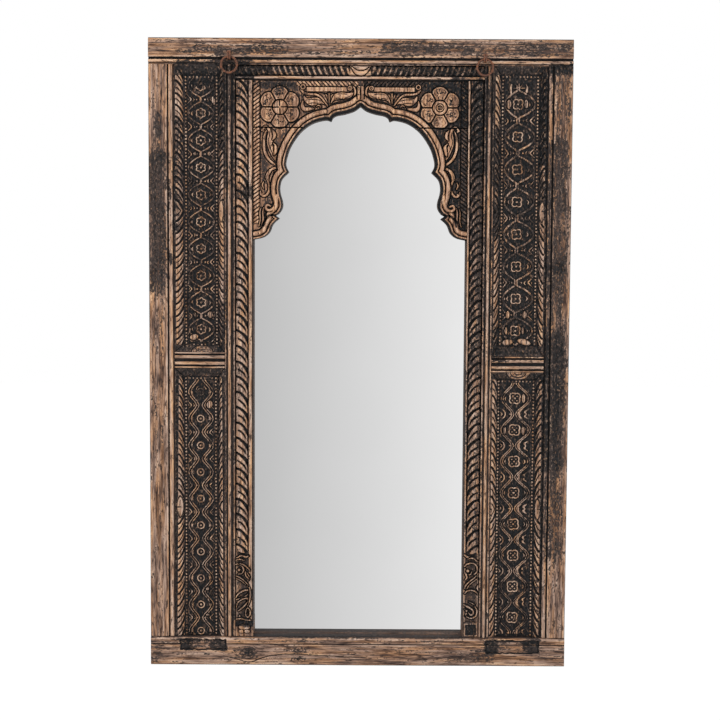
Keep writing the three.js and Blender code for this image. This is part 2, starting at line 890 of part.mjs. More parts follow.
// Glass and backing board in the rebate, with the strips that hold them
const glassHalf = rebateHalf - jointGap;
const glassFoot = rebateFoot;
const glassHead = rebateTop - jointGap;
place(
  "mirror_glass",
  block(-glassHalf, glassFoot, glassFront - glassThickness, glassHalf, glassHead, glassFront),
  silvered(),
);
place(
  "backing_board",
  block(-glassHalf, glassFoot, boardFront - backingThickness, glassHalf, glassHead, boardFront),
  paleWood(),
);
const stopBack = back + jointGap;
const stopInner = glassHalf - stopWidth;
for (const side of sides) {
  const x0 = side === "right" ? stopInner : -glassHalf;
  const strip = block(x0, glassFoot, stopBack, x0 + stopWidth, glassHead, stopFront);
  place("glass_stop_" + side, strip, paleWood());
}
const stopReach = stopInner - jointGap;
for (const [name, foot] of [["bottom", glassFoot], ["top", glassHead - stopWidth]]) {
  const strip = block(-stopReach, foot, stopBack, stopReach, foot + stopWidth, stopFront);
  place("glass_stop_" + name, strip, paleWood());
}

// Battens across the back, screwed to the stiles and the jambs
const battenHalf = frameWidth / 2 - battenInset;
for (const [name, level] of Object.entries(battenLevels)) {
  const foot = level - battenHeight / 2;
  const head = level + battenHeight / 2;
  const batten = block(-battenHalf, foot, 0, battenHalf, head, battenThickness - jointGap);
  place("back_batten_" + name, drilled(batten), paleWood());
  for (const [line, across] of Object.entries(screwLines)) {
    place("batten_screw_" + name + "_" + line, screw(battenScrewLength), zincSteel(), across, level);
  }
}

// Strap hangers on the backs of the stiles: a plate rolled round the straight bar of a D ring
const hangerEyeOut = back - hangerPlateThickness - hangerRingStandoff - hangerWireRadius;

function hangerStrap() {
  const plateBack = back - jointGap;
  const strap = block(
    -hangerPlateWidth / 2,
    -hangerPlateLength,
    plateBack - hangerPlateThickness,
    hangerPlateWidth / 2,
    0,
    plateBack,
  );
  const eye = new THREE.CylinderGeometry(hangerEyeRadius, hangerEyeRadius, hangerEyeWidth, roundSides);
  eye.rotateZ(Math.PI / 2);
  const boreRadius = hangerWireRadius + hangerBoreClearance;
  const bore = new THREE.CylinderGeometry(boreRadius, boreRadius, hangerEyeWidth + cutOverrun, roundSides);
  bore.rotateZ(Math.PI / 2);
  let body = strap.add(solid(eye).translate([0, 0, hangerEyeOut]));
  body = body.subtract(solid(bore).translate([0, 0, hangerEyeOut]));
  for (const drop of [hangerFirstScrewDrop, hangerFirstScrewDrop + hangerScrewSpacing]) {
    const hole = roundBar(screwShankRadius + screwClearance, back - cutOverrun, back + cutOverrun);
    body = body.subtract(hole.translate([0, -drop, 0]));
  }
  return body;
}

// The D ring hangs from its bar, its bow below
function hangerRing() {
  const bar = new THREE.CylinderGeometry(
    hangerWireRadius,
    hangerWireRadius,
    2 * hangerRingRadius,
    wireSides,
  );
  bar.rotateZ(Math.PI / 2);
  const bow = new THREE.TorusGeometry(hangerRingRadius, hangerWireRadius, wireSides, ringSteps);
  const above = block(
    -2 * hangerRingRadius,
    0,
    -hangerRingRadius,
    2 * hangerRingRadius,
    2 * hangerRingRadius,
    hangerRingRadius,
  );
  let ring = solid(bar).add(solid(bow).subtract(above));
  for (const side of sides) {
    const knee = new THREE.SphereGeometry(hangerWireRadius, wireSides, wireSides / 2);
    ring = ring.add(solid(knee).translate([sideOf[side] * hangerRingRadius, 0, 0]));
  }
  return ring;
}

function panScrew() {
  const seat = back - jointGap - hangerPlateThickness - jointGap;
  const head = roundBar(screwHeadRadius * panHeadTaperShare, seat - panHeadHeight, seat, screwHeadRadius);
  const shank = roundBar(screwShankRadius, seat - panHeadHeight, back + hangerScrewBite);
  return head.add(shank);
}

for (const side of sides) {
  const x = sideOf[side] * tenonCentre;
  const y = frameHeight - hangerDrop;
  place("hanger_strap_" + side, hangerStrap(), zincSteel(), x, y);
  place("hanger_ring_" + side, hangerRing(), zincSteel(), x, y, hangerEyeOut);
  place("hanger_screw_" + side + "_upper", panScrew(), zincSteel(), x, y - hangerFirstScrewDrop);
  place(
    "hanger_screw_" + side + "_lower",
    panScrew(),
    zincSteel(),
    x,
    y - hangerFirstScrewDrop - hangerScrewSpacing,
  );
}

export default group;
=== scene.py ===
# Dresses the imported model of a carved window-surround mirror: old teak boards with worn dark
# paint and deep carving, a silvered glass, two wrought-iron rings, and the plain back.
# Lengths are millimetres up to the moment a mesh is made. "Across" runs to the viewer's right,
# "up" from the foot of the frame, and "out" from the wall towards the viewer.
import math

import bmesh
import bpy
import numpy as np
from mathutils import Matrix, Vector


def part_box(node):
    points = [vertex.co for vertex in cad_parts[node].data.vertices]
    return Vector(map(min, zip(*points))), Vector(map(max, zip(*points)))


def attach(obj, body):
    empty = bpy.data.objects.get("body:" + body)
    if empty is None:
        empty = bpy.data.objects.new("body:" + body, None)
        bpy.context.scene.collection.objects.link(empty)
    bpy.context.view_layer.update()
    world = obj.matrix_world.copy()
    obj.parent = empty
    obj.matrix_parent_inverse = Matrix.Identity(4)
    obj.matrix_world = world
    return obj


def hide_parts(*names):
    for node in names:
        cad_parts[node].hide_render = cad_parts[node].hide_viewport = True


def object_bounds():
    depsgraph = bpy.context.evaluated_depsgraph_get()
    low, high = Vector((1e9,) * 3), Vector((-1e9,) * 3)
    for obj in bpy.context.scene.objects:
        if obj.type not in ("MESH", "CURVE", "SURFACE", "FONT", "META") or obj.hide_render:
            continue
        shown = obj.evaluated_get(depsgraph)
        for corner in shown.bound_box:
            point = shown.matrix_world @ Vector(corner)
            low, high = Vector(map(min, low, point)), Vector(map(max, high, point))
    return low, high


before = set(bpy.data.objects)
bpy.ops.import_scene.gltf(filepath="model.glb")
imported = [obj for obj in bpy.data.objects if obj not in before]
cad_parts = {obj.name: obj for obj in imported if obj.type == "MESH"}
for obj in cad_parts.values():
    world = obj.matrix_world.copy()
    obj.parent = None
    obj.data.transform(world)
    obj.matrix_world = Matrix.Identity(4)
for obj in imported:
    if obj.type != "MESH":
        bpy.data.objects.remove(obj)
CAD_BOX = [[float(value) for value in corner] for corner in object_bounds()]

bl_info = {
    "name": "Carved Window Mirror",
    "version": (1, 0, 0),
    "blender": (4, 5, 0),
    "location": "View3D > Sidebar > Mirror",
    "description": "Carves and finishes a wall mirror in an old window surround",
    "category": "Add Mesh",
}

MM = 0.001
FRAME_FOOT = CAD_BOX[0][2] / MM
SIDES = {"left": -1, "right": 1}
FAR = 1e3
TINY = 1e-9
HALF = 0.5
QUARTER_TURN = math.pi / 2
INK = 1.0

# Levels of the face, out from the wall
BOX_FRONT = -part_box("outer_stile_left")[0].y / MM
PANEL_RIM = -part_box("upper_panel_left")[0].y / MM
GROOVE_DEPTH = 6.0
FILLET_DEPTH = 4.0
THINNEST = 1.0


class Edges:
    """The sides of a CAD node in millimetres: across, up and out."""

    def __init__(self, node):
        low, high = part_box(node)
        self.name = node
        self.left, self.right = low.x / MM, high.x / MM
        self.foot, self.head = low.z / MM - FRAME_FOOT, high.z / MM - FRAME_FOOT
        self.back, self.front = -high.y / MM, -low.y / MM
        self.width = self.right - self.left
        self.height = self.head - self.foot


# Numbers and noise


LINE_STEPS = 6
THINNEST_STROKE = 0.3
BEAD_STEPS = 10


def share(value, low, high):
    """Where a value lies between two others, from 0 to 1, eased at both ends."""
    part = np.clip((value - low) / (high - low), 0, 1)
    return part * part * (3 - 2 * part)


def noise(shape, cells, seed):
    """Smooth random values from -1 to 1, with about the given number of cells each way."""
    random = np.random.default_rng(seed)
    rows, columns = (max(2, int(count) + 1) for count in cells)
    knots = random.uniform(-1, 1, (rows + 1, columns + 1))
    down = np.linspace(0, rows - 1e-6, shape[0])
    along = np.linspace(0, columns - 1e-6, shape[1])
    row, column = down.astype(int), along.astype(int)
    part_row = share(down - row, 0, 1)[:, None]
    part_column = share(along - column, 0, 1)[None, :]
    upper = knots[row][:, column] * (1 - part_column) + knots[row][:, column + 1] * part_column
    lower = knots[row + 1][:, column] * (1 - part_column) + knots[row + 1][:, column + 1] * part_column
    return upper * (1 - part_row) + lower * part_row


def box_blur(values, reach, axis):
    """The mean of the neighbours within a reach along one axis."""
    if reach < 1:
        return values
    pad = [(0, 0), (0, 0)]
    pad[axis] = (reach + 1, reach)
    sums = np.cumsum(np.pad(values, pad, mode="edge"), axis=axis)
    size, span = values.shape[axis], 2 * reach + 1
    high = np.take(sums, range(span, span + size), axis=axis)
    return (high - np.take(sums, range(size), axis=axis)) / span


def smooth_line(points, steps=LINE_STEPS):
    """A flowing line through points of (across, up, half width)."""
    knots = np.array(points, float)
    knots = np.vstack([2 * knots[0] - knots[1], knots, 2 * knots[-1] - knots[-2]])
    part = np.linspace(0, 1, steps, endpoint=False)[:, None]
    pieces = []
    for before, start, end, after in zip(knots, knots[1:], knots[2:], knots[3:]):
        square = 2 * before - 5 * start + 4 * end - after
        cube = 3 * start - before - 3 * end + after
        pieces.append((2 * start + (end - before) * part + square * part**2 + cube * part**3) / 2)
    line = np.vstack(pieces + [knots[-2:-1]])
    line[:, 2] = np.maximum(line[:, 2], THINNEST_STROKE)
    return line


def bead(start, end, base, crest):
    """Points of a half-round bead in a section, as (place, out)."""
    turns = np.linspace(0, math.pi, BEAD_STEPS)
    middle, half = (start + end) / 2, (end - start) / 2
    return [(middle - half * math.cos(turn), base + (crest - base) * math.sin(turn)) for turn in turns]


def shifted(section, place, level=BOX_FRONT):
    """A section's points, counted from a place and a level."""
    return [(place + across, level + rise) for across, rise in section]


def handed(points, sign):
    """A stroke of the left half, mirrored for the right half."""
    return [(-x, y, w) for x, y, w in points] if sign > 0 else points


# The carver's raster


BARE_REACH = 1.2
RIDGE_LIMIT = 0.5
HOLLOW_LIMIT = 1.5
# How far the face is compared with its surroundings, and each reach's weight
HOLLOW_REACHES = ((2.2, 0.6), (6.0, 0.4))
# Rows and columns of the raster to one cell of a stain's ragged edge, broad and fine
RAGGED_CELLS = ((14, 10), (5, 4))
STAIN_SEED = 999
# Bend of a knot's lines: how much, with how many cells up and across
KNOT_BENDS = ((0.12, (6, 9)), (0.05, (16, 24)))
KNOT_LINE = (0.1, 0.8)
KNOT_FADE = (0.75, 1.0)


class Relief:
    """A carved face: how far out it stands and how much dark paint it keeps, on a fine grid."""

    def __init__(self, left, foot, right, head, step, level):
        step_across, step_up = step if isinstance(step, tuple) else (step, step)
        self.across = np.linspace(left, right, round((right - left) / step_across) + 1)
        self.up = np.linspace(foot, head, round((head - foot) / step_up) + 1)
        self.step_across = self.across[1] - self.across[0]
        self.step_up = self.up[1] - self.up[0]
        self.ground = level
        self.rub = 1.0
        self.out = np.full((len(self.up), len(self.across)), float(level))
        self.paint = np.zeros_like(self.out)

    def grid(self):
        return self.across[None, :], self.up[:, None]

    def window(self, left, foot, right, head):
        columns = np.searchsorted(self.across, (left, right))
        rows = np.searchsorted(self.up, (foot, head))
        return slice(rows[0], rows[1] + 1), slice(columns[0], columns[1] + 1)

    def around(self, across, up, half_across, half_up=None):
        """The part of the grid about a place, and how far from the place each point there lies."""
        half_up = half_up or half_across
        box = self.window(across - half_across, up - half_up, across + half_across, up + half_up)
        return box, self.across[box[1]][None, :] - across, self.up[box[0]][:, None] - up

    def near_segment(self, start, end, reach):
        """The part of the grid near a straight line, how far off it and how far along it it lies."""
        (ax, ay), (bx, by) = start, end
        box = self.window(min(ax, bx) - reach, min(ay, by) - reach, max(ax, bx) + reach, max(ay, by) + reach)
        x, y = self.across[box[1]][None, :] - ax, self.up[box[0]][:, None] - ay
        dx, dy = bx - ax, by - ay
        length = np.clip((x * dx + y * dy) / (dx * dx + dy * dy + TINY), 0, 1)
        return box, np.hypot(x - length * dx, y - length * dy), length

    def press(self, box, inside, part, height, moat=0.0, depth=0.0):
        """Raises a rounded shape over the ground, rubbed bare, with a dark moat cut round it."""
        patch = self.out[box]
        top = self.ground + height * np.sqrt(np.clip(part * (2 - part), 0, 1))
        raised = (inside > 0) & (top > patch)
        patch = np.where(raised, top, patch)
        if moat:
            gap = np.clip(1 - np.abs(2 * inside / moat + 1), 0, 1) ** HALF
            low = self.ground - depth * gap
            patch = np.where((inside <= 0) & (gap > 0), np.minimum(patch, low), patch)
            self.ink(box, INK * gap * (inside <= 0))
        self.out[box] = patch
        bare = np.clip(inside / BARE_REACH, 0, 1) * self.rub
        self.paint[box] = np.where(raised, self.paint[box] * (1 - bare), self.paint[box])

    def ink(self, box, amount):
        """Leaves dark paint, as where a tool has cut deep."""
        self.paint[box] = np.maximum(self.paint[box], amount)

    def along(self, points, reach):
        """The part of the grid near a stroke, and how far inside it each place there lies."""
        line = smooth_line(points)
        reach = reach + line[:, 2].max()
        box = self.window(*(line[:, :2].min(0) - reach), *(line[:, :2].max(0) + reach))
        inside = np.full(self.out[box].shape, -FAR)
        part = np.zeros_like(inside)
        for start, end in zip(line, line[1:]):
            near, distance, length = self.near_segment(start[:2], end[:2], reach)
            local = tuple(slice(at.start - of.start, at.stop - of.start) for at, of in zip(near, box))
            width = start[2] + (end[2] - start[2]) * length
            inside[local] = np.maximum(inside[local], width - distance)
            part[local] = np.maximum(part[local], 1 - distance / width)
        return box, inside, part

    def stroke(self, points, height, moat=0.0, depth=0.0):
        self.press(*self.along(points, moat), height, moat, depth)

    def groove(self, points, depth):
        box, inside, part = self.along(points, 0.0)
        cut = np.where(inside > 0, np.clip(part, 0, 1) ** HALF, 0)
        self.out[box] -= depth * cut
        self.ink(box, INK * cut)

    def oval(self, across, up, half_across, half_up, height, moat=0.0, depth=0.0, turn=0.0):
        box, x, y = self.around(across, up, max(half_across, half_up) + moat)
        along_x = x * math.cos(turn) + y * math.sin(turn)
        along_y = y * math.cos(turn) - x * math.sin(turn)
        part = 1 - np.hypot(along_x / half_across, along_y / half_up)
        self.press(box, part * min(half_across, half_up), part, height, moat, depth)

    def dish(self, across, up, radius, depth):
        box, x, y = self.around(across, up, radius)
        self.out[box] -= depth * np.sqrt(np.clip(1 - np.hypot(x, y) / radius, 0, 1))

    def ring(self, across, up, radius, width, height, moat=0.0, depth=0.0):
        box, x, y = self.around(across, up, radius + width + moat)
        away = np.abs(np.hypot(x, y) - radius)
        self.press(box, width / 2 - away, 1 - 2 * away / width, height, moat, depth)

    def blot(self, across, up, radius, amount):
        """Inks a round patch that fades to its edge."""
        box, x, y = self.around(across, up, radius)
        self.ink(box, amount * (1 - share(np.hypot(x, y), radius * HALF, radius)))

    def weather(self, amount, cell_across, cell_up, seed):
        """Small unevenness left by tools and years."""
        height, width = self.up[-1] - self.up[0], self.across[-1] - self.across[0]
        self.out += amount * noise(self.out.shape, (height / cell_up, width / cell_across), seed)

    def stain(self, left, foot, right, head, amount, soft):
        """More dark paint kept in a patch with ragged, soft edges."""
        across, up = self.grid()
        ragged = 0.0
        for (rows, columns), seed in zip(RAGGED_CELLS, (foot, head)):
            cells = (len(self.up) / rows, len(self.across) / columns)
            ragged = ragged + noise(self.out.shape, cells, round(seed + STAIN_SEED))
        ragged = soft * HALF * ragged
        for place, start, end in ((across, left, right), (up, foot, head)):
            amount = amount * share(place + ragged, start - soft, start + soft)
            amount = amount * (1 - share(place + ragged, end - soft, end + soft))
        self.paint = self.paint + amount

    def figure(self, across, up, half_across, half_up, rings, amount, seed):
        """Dark growth lines that bend round a knot."""
        box, x, y = self.around(across, up, half_across, half_up)
        far = np.hypot(x / half_across, y / half_up)
        bend = 0.0
        for number, (weight, cells) in enumerate(KNOT_BENDS):
            bend = bend + weight * noise(far.shape, cells, seed + number)
        lines = share(np.sin((far + bend) * rings * math.tau), *KNOT_LINE)
        self.paint[box] += amount * lines * (1 - share(far, *KNOT_FADE))

    def lay(self, inside, out, paint):
        """Puts a level and a paint on the places inside a shape."""
        self.out = np.where(inside, out, self.out)
        self.paint = np.where(inside, paint, self.paint)

    def lay_section(self, section, up):
        """Gives the whole relief one section, across it or up it."""
        places, levels = zip(*section)
        if up:
            self.out[:] = np.interp(self.across, places, levels)[None, :]
        else:
            self.out[:] = np.interp(self.up, places, levels)[:, None]

    def hollow(self):
        """Positive where the face lies deeper than its surroundings, negative on ridges."""
        values = np.zeros_like(self.out)
        for reach, weight in HOLLOW_REACHES:
            soft = self.out
            for _ in range(2):
                soft = box_blur(soft, round(reach / self.step_up), 0)
                soft = box_blur(soft, round(reach / self.step_across), 1)
            values += weight * (soft - self.out)
        return np.clip(values / 2, -RIDGE_LIMIT, HOLLOW_LIMIT)

    def sample(self, values, across, up):
        column = np.clip((across - self.across[0]) / self.step_across, 0, len(self.across) - 1.001)
        row = np.clip((up - self.up[0]) / self.step_up, 0, len(self.up) - 1.001)
        left, low = column.astype(int), row.astype(int)
        part_x, part_y = column - left, row - low
        lower = values[low, left] * (1 - part_x) + values[low, left + 1] * part_x
        upper = values[low + 1, left] * (1 - part_x) + values[low + 1, left + 1] * part_x
        return lower * (1 - part_y) + upper * part_y

    def settle(self, side, edges):
        """Turns a carving that was drawn from its outer edge to its own side, and puts it in place."""
        if side == "right":
            self.across = -self.across[::-1]
            self.out = self.out[:, ::-1].copy()
            self.paint = self.paint[:, ::-1].copy()
        self.across += edges.left - self.across[0]


# Meshes


def to_metres(across, out, up):
    return np.stack([across * MM, -out * MM, (up + FRAME_FOOT) * MM], axis=-1)


def piece(name, mesh, material, nodes=(), body="frame"):
    """Puts a finished mesh in the scene, on its body and in the place of its nodes."""
    mesh.materials.clear()
    mesh.materials.append(finish(material))
    part = bpy.data.objects.new(name, mesh)
    bpy.context.scene.collection.objects.link(part)
    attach(part, body)
    if nodes:
        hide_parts(*nodes)


def closed_board(name, front, back, turned, values):
    """A closed mesh from rows of front points and rows of a few back points."""
    rows, columns = front.shape[:2]
    behind = back.shape[1]
    points = np.concatenate([front.reshape(-1, 3), back.reshape(-1, 3)])
    face = np.arange(rows * columns).reshape(rows, columns)
    rear = np.arange(rows * behind).reshape(rows, behind) + rows * columns

    def quads(*corners):
        return np.stack([corner.ravel() for corner in corners], axis=1)

    faces = quads(face[:-1, :-1], face[:-1, 1:], face[1:, 1:], face[1:, :-1])
    walls = [
        quads(face[:-1, 0], face[1:, 0], rear[1:, 0], rear[:-1, 0]),
        quads(face[:-1, -1], rear[:-1, -1], rear[1:, -1], face[1:, -1]),
        quads(rear[:-1, :-1], rear[1:, :-1], rear[1:, 1:], rear[:-1, 1:]),
    ]
    ends = [np.concatenate([face[0, ::-1], rear[0]]), np.concatenate([face[-1], rear[-1, ::-1]])]
    flat = np.concatenate(walls)
    if turned:
        faces, flat = faces[:, ::-1], flat[:, ::-1]
        ends = [end[::-1] for end in ends]
    loops = np.concatenate([faces.ravel(), flat.ravel()] + ends)
    sizes = np.concatenate([np.full(len(faces) + len(flat), 4), [len(end) for end in ends]])
    mesh = bpy.data.meshes.new(name)
    mesh.vertices.add(len(points))
    mesh.vertices.foreach_set("co", points.ravel().astype(np.float32))
    mesh.loops.add(len(loops))
    mesh.loops.foreach_set("vertex_index", loops.astype(np.int32))
    mesh.polygons.add(len(sizes))
    mesh.polygons.foreach_set("loop_start", np.concatenate([[0], np.cumsum(sizes)[:-1]]).astype(np.int32))
    mesh.update(calc_edges=True)
    mesh.polygons.foreach_set("use_smooth", np.arange(len(sizes)) < len(faces))
    for key, value in values.items():
        full = np.zeros(len(points), np.float32)
        full[: rows * columns] = value.ravel()
        mesh.attributes.new(key, "FLOAT", "POINT").data.foreach_set("value", full)
    mesh.validate()
    return mesh


# Patches that have kept dark paint on ridges too, in the frame's own millimetres: left, foot,
# right and head, how much is left there, and how soft the edge of the patch is
STAINS = {
    "top_rail": [
        (-306, 1294, -236, 1334, 0.42, 10), (-386, 1314, -290, 1338, 0.3, 8),
        (-390, 1295, -190, 1308, 0.5, 5), (-240, 1308, -150, 1346, 0.36, 10),
        (-150, 1300, 40, 1346, 0.14, 30), (42, 1314, 232, 1342, 0.34, 16),
        (42, 1296, 452, 1350, 0.24, 20), (232, 1300, 452, 1345, 0.2, 30),
        (-446, 1336, -330, 1352, 0.24, 6), (-400, 1284, -236, 1299, 0.6, 8),
        (400, 1284, 452, 1300, 0.9, 8), (60, 1296, 260, 1309, 0.25, 20),
    ],
    "outer_stile_left": [
        (-452, 1085, -416, 1215, 0.26, 20), (-470, 815, -400, 1110, 0.74, 18),
        (-432, 1140, -420, 1200, 0.5, 5), (-452, 640, -416, 815, 0.22, 40),
        (-452, 60, -440, 640, 0.15, 10),
    ],
    "outer_stile_right": [
        (390, 850, 446, 1135, 0.5, 16), (390, 232, 440, 880, 0.44, 16), (380, 430, 446, 730, 0.42, 14),
        (400, 1140, 452, 1290, 0.36, 30), (404, 60, 452, 1290, 0.1, 20), (400, 1276, 460, 1304, 0.9, 5),
        (380, 1120, 412, 1300, 0.5, 4), (380, 700, 412, 1120, 0.4, 4), (380, 50, 412, 700, 0.42, 4),
    ],
    "rib_strip_left": [
        (-310, 1180, -240, 1300, 0.9, 14), (-310, 1030, -240, 1180, 0.56, 14),
        (-310, 690, -240, 1030, 0.38, 14), (-310, 60, -240, 690, 0.32, 14),
    ],
    "rib_strip_right": [
        (240, 1200, 310, 1300, 0.72, 14), (240, 1060, 310, 1200, 0.54, 14),
        (240, 660, 310, 1060, 0.34, 14), (262, 60, 268, 660, 0.3, 4),
    ],
    "mid_rail_left": [(-396, 645, -289, 700, 0.18, 8)],
    "mid_rail_right": [(284, 640, 396, 690, 0.44, 8), (280, 668, 316, 690, 0.6, 6)],
    "rope_jamb_left": [(-290, 1225, -226, 1262, 0.4, 12), (-290, 1010, -200, 1040, 0.5, 8)],
    "rope_jamb_right": [
        (235, 1060, 284, 1270, 1, 5), (235, 914, 284, 1060, 0.6, 5), (235, 640, 284, 914, 0.5, 5),
        (250, 1110, 284, 1150, 0.4, 5), (206, 250, 284, 640, 0.28, 14),
    ],
    "rope_lintel": [
        (-270, 1273, -188, 1300, 1, 8), (-188, 1273, -20, 1300, 0.4, 20), (20, 1273, 90, 1300, 0.5, 15),
        (84, 1273, 262, 1300, 0.85, 12), (190, 1260, 262, 1275, 0.8, 8), (-270, 1258, -226, 1276, 1.1, 3),
    ],
    "arch": [
        (205, 1166, 232, 1262, 0.6, 5), (136, 1236, 230, 1262, 0.3, 8), (-230, 1246, -134, 1262, 0.6, 5),
        (-182, 1232, -160, 1250, 0.5, 4), (-216, 1040, -200, 1110, 0.25, 6),
    ],
    "upper_panel_left": [
        (-372, 1246, -312, 1276, 0.4, 5), (-304, 1112, -270, 1300, 0.9, 4),
        (-304, 1060, -270, 1112, 0.3, 5), (-410, 940, -378, 1180, 0.4, 5), (-304, 680, -270, 790, 0.6, 5),
    ],
    "upper_panel_right": [
        (380, 1085, 410, 1300, 1.1, 4), (380, 985, 410, 1085, 0.5, 5), (270, 930, 299, 1165, 0.7, 5),
        (270, 680, 299, 745, 0.7, 5),
    ],
    "lower_panel_left": [(-340, 626, -322, 636, -0.5, 4), (-398, 60, -286, 330, 0.06, 20)],
    "lower_panel_right": [
        (376, 480, 410, 640, 0.5, 5), (376, 50, 410, 480, 0.28, 5), (300, 50, 384, 190, 0.26, 8),
    ],
    "upper_panel_left_beads": [(-380, 1165, -366, 1290, 0.3, 5), (-312, 760, -300, 1165, 0.2, 5)],
    "upper_panel_left_rosettes": [(-354, 1248, -326, 1270, 0.9, 2)],
    "lower_panel_left_rosettes": [(-360, 585, -325, 615, 0.45, 3)],
    "plinth_block_left": [(-268, 84, -226, 100, 1.2, 3)],
    "plinth_block_right": [(234, 68, 258, 92, 0.7, 3), (220, 55, 270, 105, 0.4, 3)],
    "bottom_rail": [
        (189, 4, 300, 29, 0.4, 12), (-452, 48, -330, 66, 0.4, 8), (-452, 4, -425, 42, 0.35, 10),
        (-388, 31, -360, 57, 0.6, 4), (-320, 31, -284, 57, 0.55, 4), (-388, 31, -284, 57, 0.2, 3),
        (276, 26, 306, 59, 0.6, 4), (360, 26, 396, 59, 0.55, 4), (276, 26, 396, 59, 0.2, 3),
        (396, 0, 460, 66, 0.08, 8), (-250, 16, -224, 40, 0.6, 5), (-136, 6, -120, 40, 0.35, 6),
        (262, 48, 400, 66, 0.4, 8), (-452, 4, 452, 60, 0.05, 20), (-246, 50, 236, 70, 0.3, 4),
    ],
}


def lay_stains(relief, name):
    for patch in STAINS.get(name, ()):
        relief.stain(*patch)


def carved_board(name, relief, edges, material, upright=True, rebate=None):
    """A board whose face is a relief and whose back is flat, or stepped for the glass."""
    lay_stains(relief, name)
    shares, levels = zip(*(rebate or [(0.0, edges.back), (1.0, edges.back)]))
    start, size, along = edges.left, edges.width, relief.up
    if not upright:
        start, size, along = edges.foot, edges.height, relief.across
    places, rows = np.meshgrid([start + part * size for part in shares], along)
    levels = np.array(levels) + 0 * places
    across, up = np.meshgrid(relief.across, relief.up)
    out = np.clip(relief.out, edges.back + THINNEST, edges.front)
    hollow, paint = relief.hollow(), relief.paint
    if upright:
        back = to_metres(places, levels, rows)
    else:
        back = to_metres(rows, levels, places)
        across, up, out, hollow, paint = (values.T for values in (across, up, out, hollow, paint))
    values = {"hollow": hollow, "paint": paint}
    mesh = closed_board(name, to_metres(across, out, up), back, not upright, values)
    piece(name + "_carved", mesh, material, (name,))


# Materials


def linear(code):
    """An sRGB hex colour as linear red, green, blue and alpha."""
    values = [int(code[place : place + 2], 16) / 255 for place in (1, 3, 5)]
    return [v / 12.92 if v <= 0.04045 else ((v + 0.055) / 1.055) ** 2.4 for v in values] + [1.0]


def add_node(tree, kind, inputs=(), stops=(), **settings):
    """A node with its settings, a ramp's stops, and its inputs as values or as other nodes' outputs."""
    node = tree.nodes.new(kind)
    for key, value in settings.items():
        setattr(node, key, value)
    for socket, source in inputs.items() if isinstance(inputs, dict) else enumerate(inputs):
        if isinstance(source, bpy.types.Node):
            source = source.outputs[0]
        if isinstance(source, bpy.types.NodeSocket):
            tree.links.new(source, node.inputs[socket])
        else:
            node.inputs[socket].default_value = source
    if stops:
        band = node.color_ramp.elements
        while len(band) < len(stops):
            band.new(HALF)
        for stop, (place, code) in zip(band, stops):
            stop.position, stop.color = place, linear(code)
    return node


# Size in millimetres of each pattern's cells, across and along a board, its detail, roughness and seed
GRAINS = {
    "fibre": ((4.4, 4.4, 64.0), 4.0, 0.65, 0.0),
    "pores": ((2.6, 2.6, 24.0), 2.0, 0.5, 3.1),
    "growth": ((40.0, 40.0, 520.0), 1.5, 0.4, 7.7),
    "patches": ((15.0, 15.0, 48.0), 4.0, 0.62, 1.7),
    "clouds": ((8.0, 8.0, 110.0), 3.0, 0.6, 9.1),
    "speckle": ((4.0, 4.0, 6.0), 2.0, 0.6, 5.3),
    "flecks": ((4.6, 4.6, 20.0), 3.0, 0.7, 11.9),
    "chips": ((4.2, 4.2, 7.0), 3.0, 0.75, 13.3),
    "rust": ((5.0, 5.0, 5.0), 4.0, 0.6, 0.0),
    "grit": ((0.8, 0.8, 0.8), 2.0, 0.5, 2.0),
    "wave": ((160.0, 160.0, 160.0), 1.0, 0.4, 0.0),
    "pine_fibre": ((3.0, 3.0, 120.0), 3.0, 0.55, 0.0),
    "pine_growth": ((14.0, 14.0, 400.0), 1.0, 0.4, 4.0),
    "bloom": ((4.0, 4.0, 4.0), 3.0, 0.55, 0.0),
}
TEAK_GRAINS = ("fibre", "pores", "growth", "patches", "clouds", "speckle", "flecks", "chips")
SEED_SHIFTS = (1.0, 0.7, 1.3)


def grain(tree, name, upright=True):
    """A pattern in object space, its length along an upright or a level board."""
    size, detail, rough, seed = GRAINS[name]
    scale = [1 / (length * MM) for length in (size if upright else size[::-1])]
    shift = [seed * part for part in SEED_SHIFTS]
    coordinates = add_node(tree, "ShaderNodeTexCoord").outputs["Object"]
    place = add_node(tree, "ShaderNodeMapping", {"Vector": coordinates, "Scale": scale, "Location": shift})
    settings = {"Vector": place, "Scale": 1.0, "Detail": detail, "Roughness": rough}
    return add_node(tree, "ShaderNodeTexNoise", settings)


# Where a pattern is centred, if not on a half
CENTRES = {"rings": 0.0, "hollow": 0.0, "paint": 0.0}


def weighted(tree, sources, weights, start=HALF):
    """A sum of sources, each centred and times its weight, from a start."""
    total = start
    for name, weight in weights.items():
        centre = CENTRES.get(name, HALF)
        off = add_node(tree, "ShaderNodeMath", (sources[name], centre), operation="SUBTRACT")
        total = add_node(tree, "ShaderNodeMath", (off, weight, total), operation="MULTIPLY_ADD")
    return total


def new_tree(name):
    material = bpy.data.materials.new(name)
    material.use_nodes = True
    material.node_tree.nodes.clear()
    return material, material.node_tree


def surface(tree, colour, rough, bump=None, **sockets):
    """The shader and the output of a finish."""
    inputs = {"Base Color": colour, "Roughness": rough}
    if bump:
        height, depth, strength = bump
        settings = {"Height": height, "Distance": depth * MM, "Strength": strength}
        inputs["Normal"] = add_node(tree, "ShaderNodeBump", settings)
    inputs.update({name.replace("_", " "): value for name, value in sockets.items()})
    shader = add_node(tree, "ShaderNodeBsdfPrincipled", inputs)
    add_node(tree, "ShaderNodeOutputMaterial", (shader,))


